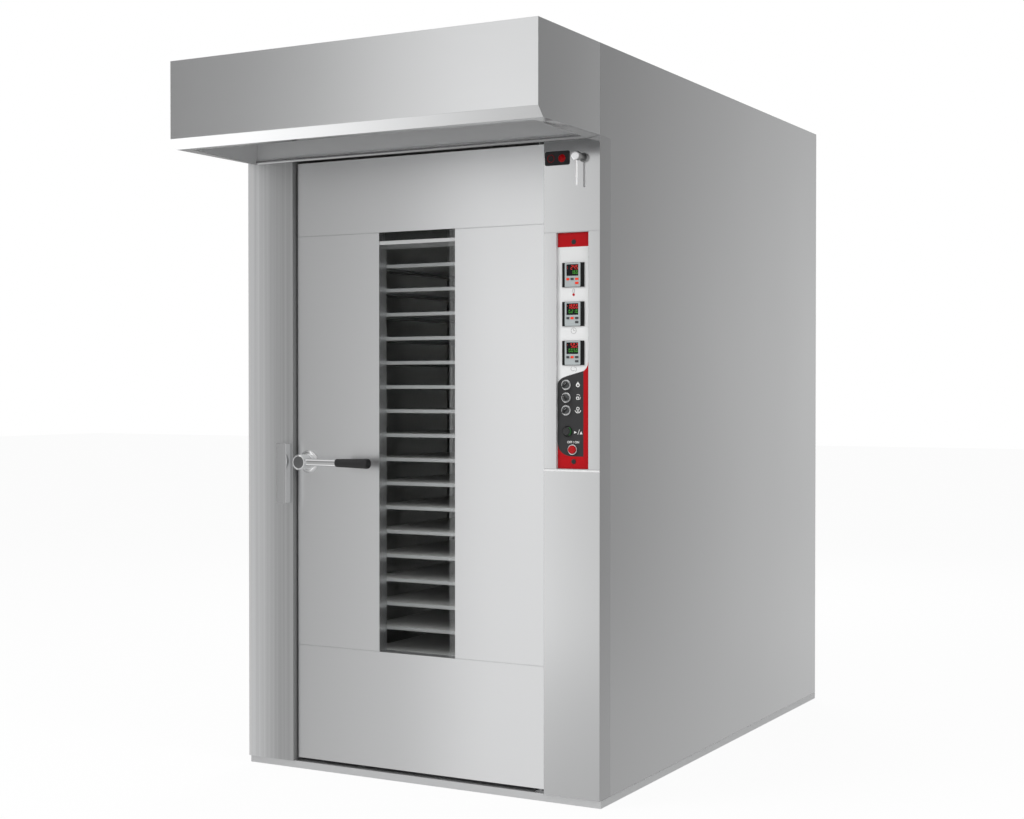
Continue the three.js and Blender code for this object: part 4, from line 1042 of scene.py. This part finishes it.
    def add_switch_words(self, place):
        """The switch positions over the power button."""
        deselect()
        bpy.ops.object.text_add(location=mm(*place), rotation=AXIS_TURNS["-y"])
        text = bpy.context.object.data
        text.body = "OFF / ON"
        text.size = 9.6 * UNIT
        text.extrude = 0.15 * UNIT
        text.offset = 0.2 * UNIT
        text.align_x = "CENTER"
        bpy.ops.object.convert(target="MESH")
        dress(settle(bpy.context.object, "sign_off_on"), "Printed white", "cabinet")


# ---- Controllers --------------------------------------------------------------------------------------
CONTROLLER_FACE = PANEL_FACE - 4
DIGIT_PARTS = {
    "0": "abcdef", "1": "bc", "2": "abdeg", "3": "abcdg", "4": "bcfg",
    "5": "acdfg", "6": "acdefg", "7": "abc", "8": "abcdefg", "9": "abcdfg",
}


def digit_bars(digit, x, z, width, height, bar):
    """Outlines of the lit bars of one number, from its lower left corner."""
    middle, top, half = z + height / 2, z + height, bar / 2
    level = {"a": top - half, "g": middle, "d": z + half}
    upright = {
        "f": (x + half, middle, top), "b": (x + width - half, middle, top),
        "e": (x + half, z, middle), "c": (x + width - half, z, middle),
    }
    outlines = []
    for part in DIGIT_PARTS[digit]:
        if part in level:
            v = level[part]
            outlines.append([
                (x + half + 0.2, v), (x + bar + 0.1, v + half), (x + width - bar - 0.1, v + half),
                (x + width - half - 0.2, v), (x + width - bar - 0.1, v - half), (x + bar + 0.1, v - half),
            ])
        else:
            u, low, high = upright[part]
            outlines.append([
                (u, low + 0.2), (u + half, low + half + 0.1), (u + half, high - half - 0.1),
                (u, high - 0.2), (u - half, high - half - 0.1), (u - half, low + half + 0.1),
            ])
    return outlines


class OVEN_OT_controllers(bpy.types.Operator):
    """Adds the three square controllers with their faces, displays and keys"""

    bl_idname = "rack_oven.controllers"
    bl_label = "Controllers"

    def execute(self, context):
        settings = context.scene.oven_controls
        readings = zip(settings.upper_readings.split(","), settings.lower_readings.split(","))
        for (node, x, z), (upper, lower) in zip(CONTROLLERS, readings):
            prefix = node.split("_")[0]
            is_first = node == CONTROLLERS[0][0]
            if is_first:
                parts, top = self.add_parts(x, z), z
            rounded_node(node, prefix + "_housing", 1.0, "Black moulding")
            for part, material in parts:
                if not is_first:
                    part = moved_copy(part, part.name.replace("temperature", prefix), (0, 0, z - top))
                dress(part, material, "cabinet")
            self.add_keys(prefix, x, z, red=(0, 2, 3) if is_first else (1,))
            right = x + 17.4
            self.add_numbers(prefix + "_upper_numbers", upper, (right, z + 15.8), (7.2, 13.6), "Red numbers")
            self.add_numbers(prefix + "_lower_numbers", lower, (right, z + 2.2), (6.6, 11), "Green numbers")
            dots = [circle(x - 18.6, z + up, 1.1, 12) for up in ((24.4, 19.4) if is_first else (24.4,))]
            self.add_lit(prefix + "_lit_dots", dots, "Red numbers")
        return {"FINISHED"}

    def add_parts(self, x, z):
        """The grey face with its display opening, the display window and the ribs of the side clips."""
        front = CONTROLLER_FACE
        face = flat_shape(
            "temperature_face",
            [rounded_rectangle(x - 27.2, x + 25.2, z - 36.2, z + 36.2, 2.0),
             rounded_rectangle(x - 21.6, x + 18.6, z - 3.2, z + 31.8, 1.2)],
            front + 0.2, 1.4,
        )
        soften(face, 0.35)
        window = flat_shape(
            "temperature_display", [rounded_rectangle(x - 22.0, x + 19.0, z - 3.6, z + 32.2, 1.2)],
            front + 0.2, 0.7,
        )
        soften(window, 0.15)
        ribs = [
            block("rib", (x0, front - 0.8, z - 33), (x0 + 2.2, front + 0.5, z + 33))
            for x0 in (x - 35.2, x - 31.2, x + 27.4, x + 31.4)
        ]
        ribs = soften(combine("temperature_ribs", ribs), 0.5)
        return (face, "Grey face"), (window, "Display window"), (ribs, "Black moulding")

    def add_keys(self, prefix, x, z, red):
        keys = ((-21.2, -11.6, -12.8), (-7.1, 3.0, -12.8), (8.1, 19.3, -12.8), (8.1, 19.3, -25.2))
        half = 3.4
        for index, (x0, x1, dz) in enumerate(keys):
            outline = rounded_rectangle(x + x0, x + x1, z + dz - half, z + dz + half, 1.4)
            key = soften(flat_shape(f"{prefix}_key_{index + 1}", [outline], CONTROLLER_FACE, 2.2), 0.5)
            dress(key, "Red key" if index in red else "Dark key", "cabinet")

    def add_numbers(self, name, words, corner, size, material):
        """Slim lit bars, set from the lower right corner of their row."""
        right, base = corner
        width, height = size
        gap, bar = 1.7, 2.0
        outlines = []
        for place, digit in enumerate(reversed(words)):
            outlines += digit_bars(digit, right - width - place * (width + gap), base, width, height, bar)
        self.add_lit(name, outlines, material)

    def add_lit(self, name, outlines, material):
        piece = flat_shape(name, outlines, CONTROLLER_FACE - 0.5, 0.25)
        dress(piece, material, "cabinet")


# ---- Selectors and buttons ----------------------------------------------------------------------------
class OVEN_OT_selectors(bpy.types.Operator):
    """Adds the three rotary selectors with their grip bars"""

    bl_idname = "rack_oven.selectors"
    bl_label = "Selectors"

    def execute(self, context):
        for node, body, x, z, lean in SELECTORS:
            name = node.split("_")[0]
            knob = spun(
                name + "_knob_body",
                ((0, 0), (8.6, 0), (10.2, 0.5), (10.9, 1.5), (11, 3), (11, 11.7), (5, 11.7), (5, 25), (0, 25)),
                (x, PANEL_FACE - 12, z), "y", 44,
            )
            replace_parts(dress(knob, "Grey moulding", body), node)
            bar = soften(block(name + "_knob_bar", (-3, -7.9, -10), (3, -2.6, 10)), 1.1, 3)
            line = soften(block(name + "_knob_line", (-0.6, -8.2, 2), (0.6, -7.6, 9)), 0.15)
            turn = Matrix.Rotation(lean * math.pi / 4, 4, "Y")
            origin, centre = Matrix.Translation(mm(0, 0, 0)), Matrix.Translation(mm(x, 0, z))
            for part, material in ((bar, "Black grip"), (line, "Printed grey")):
                part.data.transform(centre @ turn @ origin.inverted())
                dress(part, material, body)
        return {"FINISHED"}


class OVEN_OT_buttons(bpy.types.Operator):
    """Adds the dished start and power caps and the start cap's lit crescent"""

    bl_idname = "rack_oven.buttons"
    bl_label = "Buttons"

    def execute(self, context):
        dished = (
            (0, 1.0), (5.5, 0.8), (9.2, 0.3), (10.4, 0.1), (11.2, 0.4), (11.8, 1.2), (12, 2.4), (12, 7.6),
            (5, 7.6), (5, 21.6), (0, 21.6),
        )
        for node, body, (x, z), material, slot in (
            ("start_button", "start_cap", START_BUTTON, "Charcoal film", "black_plastic"),
            ("power_button", "power_cap", POWER_BUTTON, "Red cap", "red_plastic"),
        ):
            cap = spun(node.replace("button", "cap_body"), dished, (x, PANEL_FACE - 11, z), "y", 48)
            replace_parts(dress(cap, material, body), node)
        x, z = START_BUTTON
        crescent = flat_shape("start_crescent", [arc_band(x, z, 11.4, 15.0, -1.1, 2.2)], PANEL_FACE - 4.7, 0.5)
        dress(crescent, "Green lamp", "cabinet")
        return {"FINISHED"}


class OVEN_OT_indicator_damper(bpy.types.Operator):
    """Adds the indicator's ring and lens and the damper knob with its hanging rod"""

    bl_idname = "rack_oven.indicator_damper"
    bl_label = "Indicator and damper"

    def execute(self, context):
        ring = spun(
            "indicator_ring", ((12, 0), (12, -1.1), (11.5, -1.5), (10.6, -1.5), (10.2, -1.1), (10.2, 0)),
            (493.6, -2, 1963.2), "y", 48, ring=True,
        )
        dress(ring, "Dark red ring", "cabinet")
        lens = spun(
            "indicator_lens", ((0, -3.4), (4, -3.2), (8, -2.5), (10.6, -1.4), (12, 0), (0, 0)),
            (530.7, -2, 1962.5), "y", 48,
        )
        dress(lens, "Red lens", "cabinet")
        x, z = 592.5, 1963.0
        cap = spun(
            "damper_knob",
            ((0, 0.4), (10, 0.2), (12.2, 0.3), (13.4, 1.2), (14, 2.8), (14, 17.6), (13.4, 19.2), (12, 20),
             (7, 20), (7, 49), (0, 49)),
            (x, -37, z), "y", 56,
        )
        rod = spun("rod", ((0, 0), (2.2, 0.3), (3.2, 1.6), (3.2, 89), (0, 89)), (x, -27, z - 89), "z", 32)
        boolean(cap, rod, "UNION")
        smooth(cap, 30)
        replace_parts(dress(cap, "Polished chrome", "damper"), "damper_lever")
        # The rod gets a near-white finish, a painted reflection on a polished rod; the knob's body behind its
        # front gets rack steel.
        for material in ("Satin rod", "Rack steel"):
            cap.data.materials.append(FINISHES[material])
        rod_top, knob_front = (z - 16) * UNIT, mm(0, -35, 0).y
        for face in cap.data.polygons:
            if face.center.z < rod_top:
                face.material_index = 1
            elif face.center.y > knob_front:
                face.material_index = 2
        return {"FINISHED"}


# ---- Top deck -----------------------------------------------------------------------------------------
DECK = 2150.0


class OVEN_OT_deck(bpy.types.Operator):
    """Adds the gearmotor's housing and fins, the flue, the conduit and the sheet on the deck"""

    bl_idname = "rack_oven.deck"
    bl_label = "Top deck"

    def execute(self, context):
        self.add_gearmotor()
        self.add_flue()
        self.add_conduit()
        self.add_deck_sheet()
        return {"FINISHED"}

    def add_gearmotor(self):
        y, z = 645.0, DECK
        housing = soften(block("gearmotor_housing", (-62, y - 62, z), (130, y + 62, z + 108)), 9, 4)
        foot = soften(block("foot", (-70, y - 70, z), (112, y + 70, z + 12)), 2.5, 2)
        cover = spun(
            "cover", ((0, 110), (34, 110), (38, 108), (40, 104), (52, 104), (56, 101), (56, 90), (0, 90)),
            (0, y, z), "z", 56,
        )
        for part in (foot, cover):
            boolean(housing, part, "UNION")
        smooth(housing, 30)
        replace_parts(dress(housing, "Grey paint", "cabinet"), "gearmotor")
        fins = [(0, 0), (46, 0), (46, 6), (40, 8)]
        for start in range(12, 140, 8):
            fins += [(40, start), (52, start + 0.8), (52, start + 3.2), (40, start + 4)]
        fins += [(40, 142), (51, 143), (52, 146), (52, 180), (49, 187), (43, 189), (0, 189)]
        motor = spun("gearmotor_motor", fins, (129, y, z + 55), "x", 56)
        box = soften(block("gearmotor_terminal_box", (165, y - 33, z + 100), (240, y + 33, z + 142)), 5, 3)
        for piece in (motor, box):
            dress(piece, "Grey paint", "cabinet")
        bolt = spun(
            "gearmotor_bolt_1",
            ((0, 4.6), (3.2, 4.6), (3.2, 7.6), (5.6, 7.6), (6.4, 6.8), (6.5, 1.6), (9.5, 1.6), (9.5, 0), (0, 0)),
            (-58, y - 58, z + 12), "z", 24,
        )
        bolts = [bolt] + [
            moved_copy(bolt, f"gearmotor_bolt_{index + 2}", offset)
            for index, offset in enumerate(((0, 116, 0), (158, 0, 0), (158, 116, 0)))
        ]
        for piece in bolts:
            dress(piece, "Zinc plate", "cabinet")

    def add_flue(self):
        """A round outlet with a rolled rim and a bolted foot."""
        flue = spun(
            "flue_outlet",
            ((74, 0), (74, 124), (75.5, 127.5), (78.5, 128), (80.5, 126), (80.5, 122), (78, 120), (76, 118),
             (76, 6), (80, 4), (104, 4), (105, 3), (105, 0)),
            (430, 1000, DECK), "z", 72, ring=True,
        )
        dress(flue, "Zinc plate", "cabinet")

    def add_conduit(self):
        """A bent tube that lies on the deck and rises to the motor's terminal box."""
        lying = ((560, 60), (560, 420), (556, 440), (545, 452), (528, 457), (330, 457), (312, 462), (302, 474),
                 (298, 492), (298, 560), (294, 592))
        rising = ((283, 612, 2174), (262, 628, 2192), (244, 640, 2225), (236, 645, 2262))
        conduit = pipe("deck_conduit", [*((x, y, DECK + 16) for x, y in lying), *rising], 9)
        dress(conduit, "Zinc plate", "cabinet")

    def add_deck_sheet(self):
        """A cover sheet over the ceiling's insulation, with a hole round the gearmotor's foot."""
        sheet = block("deck_sheet", (-650, 4, DECK), (650, 2010, DECK + 1.2))
        hole = block("hole", (-78, 567, DECK - 10), (120, 723, DECK + 10))
        boolean(sheet, hole, "DIFFERENCE")
        soften(sheet, 0.4)
        dress(sheet, "Zinc plate", "cabinet")


# ---- Rear ---------------------------------------------------------------------------------------------
REAR_FACE = 2018.0


class OVEN_OT_rear(bpy.types.Operator):
    """Adds the louvre hoods, the cover plates, the screws and the cable gland at the back"""

    bl_idname = "rack_oven.rear"
    bl_label = "Rear details"

    def execute(self, context):
        self.add_louvres()
        for name, z0, z1 in (("rear_cover_upper", 1300, 1980), ("rear_cover_lower", 140, 780)):
            plate = soften(block(name, (-420, REAR_FACE, z0), (420, REAR_FACE + 2, z1)), 1.2, 3)
            dress(plate, "Cover steel", "cabinet")
        self.add_screws()
        gland = spun(
            "supply_gland",
            ((0, -8), (12, -8), (19.6, -8), (19.6, 0), (27, 0), (28, 1), (28, 5.4), (27, 6.4), (20, 6.8),
             (19, 10.6), (16, 11.6), (11, 11.6), (10, 9), (0, 9)),
            (275, REAR_FACE, 2200), "y", 40,
        )
        dress(gland, "Black moulding", "cabinet")
        return {"FINISHED"}

    def add_louvres(self):
        """A pressed hood over each slot: a block whose lower outer edge is cut to a slope."""
        count, pitch, middle = 12, 26, 1037
        face, z = REAR_FACE, middle - (count - 1) / 2 * pitch
        hood = block("rear_louvre_01", (-166, face - 0.5, z - 4), (166, face + 8, z + 10))
        wedge = spun("wedge", ((0, -180), (11, -180), (11, 180), (0, 180)), (0, face + 10.5, z - 6.5), "x", 32)
        soften(boolean(hood, wedge, "DIFFERENCE"), 1.4, 3)
        copies = [moved_copy(hood, f"rear_louvre_{i + 1:02d}", (0, 0, pitch * i)) for i in range(1, count)]
        for louvre in (hood, *copies):
            dress(louvre, "Side steel", "cabinet")

    def add_screws(self):
        places = [(x, z) for x in (-405, 405) for z in (155, 460, 765, 1315, 1640, 1965)]
        places += [(x, z) for x in (-635, 635) for z in (60, 430, 800, 1170, 1540, 1910, 2270)]
        profile = ((0, 1.3), (2.2, 1.3), (2.2, 3.1), (3.8, 3.0), (5.4, 2.3), (6.4, 1.1), (6.6, 0), (0, 0))
        first = spun("screw", profile, (0, REAR_FACE + 2, 0), "y", 20)
        # Those in the panel's edges sit 2 mm deeper than those on the cover plates.
        cover_edge = 420
        screws = [moved_copy(first, "screw", (x, 0 if abs(x) < cover_edge else -2, z)) for x, z in places]
        bpy.data.objects.remove(first)
        dress(combine("rear_screws", screws), "Zinc plate", "cabinet")


class OVEN_OT_leftover_nodes(bpy.types.Operator):
    """Gives the CAD nodes that are shown as they are their finishes"""

    bl_idname = "rack_oven.leftover_nodes"
    bl_label = "Plain nodes"

    def execute(self, context):
        for node, material in (
            ("window_glass", "Oven glass"), ("control_panel", "White film"), ("fan_motor", "Grey paint"),
        ):
            give_finish(frame["nodes"][node], material)
        return {"FINISHED"}


class OVEN_PT_panel(bpy.types.Panel):
    bl_idname = "OVEN_PT_panel"
    bl_label = "Rack oven"
    bl_space_type = "VIEW_3D"
    bl_region_type = "UI"
    bl_category = "Rack oven"

    def draw(self, context):
        for settings in (context.scene.oven_stage, context.scene.oven_finish, context.scene.oven_controls):
            column = self.layout.column()
            for prop in settings.bl_rna.properties:
                if prop.identifier not in ("rna_type", "name"):
                    column.prop(settings, prop.identifier)
        for operator in OPERATORS:
            self.layout.operator(operator.bl_idname)


SETTINGS = (
    ("oven_stage", OvenStageSettings),
    ("oven_finish", OvenFinishSettings),
    ("oven_controls", OvenControlSettings),
)
OPERATORS = (
    OVEN_OT_stage,
    OVEN_OT_casing,
    OVEN_OT_door,
    OVEN_OT_handle,
    OVEN_OT_faceplate,
    OVEN_OT_controllers,
    OVEN_OT_selectors,
    OVEN_OT_buttons,
    OVEN_OT_indicator_damper,
    OVEN_OT_deck,
    OVEN_OT_rear,
    OVEN_OT_leftover_nodes,
)


def register():
    for name, group in SETTINGS:
        bpy.utils.register_class(group)
        setattr(bpy.types.Scene, name, bpy.props.PointerProperty(type=group))
    for item in (*OPERATORS, OVEN_PT_panel):
        bpy.utils.register_class(item)


def unregister():
    for item in reversed((*OPERATORS, OVEN_PT_panel)):
        bpy.utils.unregister_class(item)
    for name, group in reversed(SETTINGS):
        delattr(bpy.types.Scene, name)
        bpy.utils.unregister_class(group)


def main():
    register()
    make_finishes()
    bpy.ops.rack_oven.stage()
    bpy.ops.rack_oven.casing()
    bpy.ops.rack_oven.door()
    bpy.ops.rack_oven.handle()
    bpy.ops.rack_oven.faceplate()
    bpy.ops.rack_oven.controllers()
    bpy.ops.rack_oven.selectors()
    bpy.ops.rack_oven.buttons()
    bpy.ops.rack_oven.indicator_damper()
    bpy.ops.rack_oven.deck()
    bpy.ops.rack_oven.rear()
    bpy.ops.rack_oven.leftover_nodes()


if __name__ == "__main__":
    main()
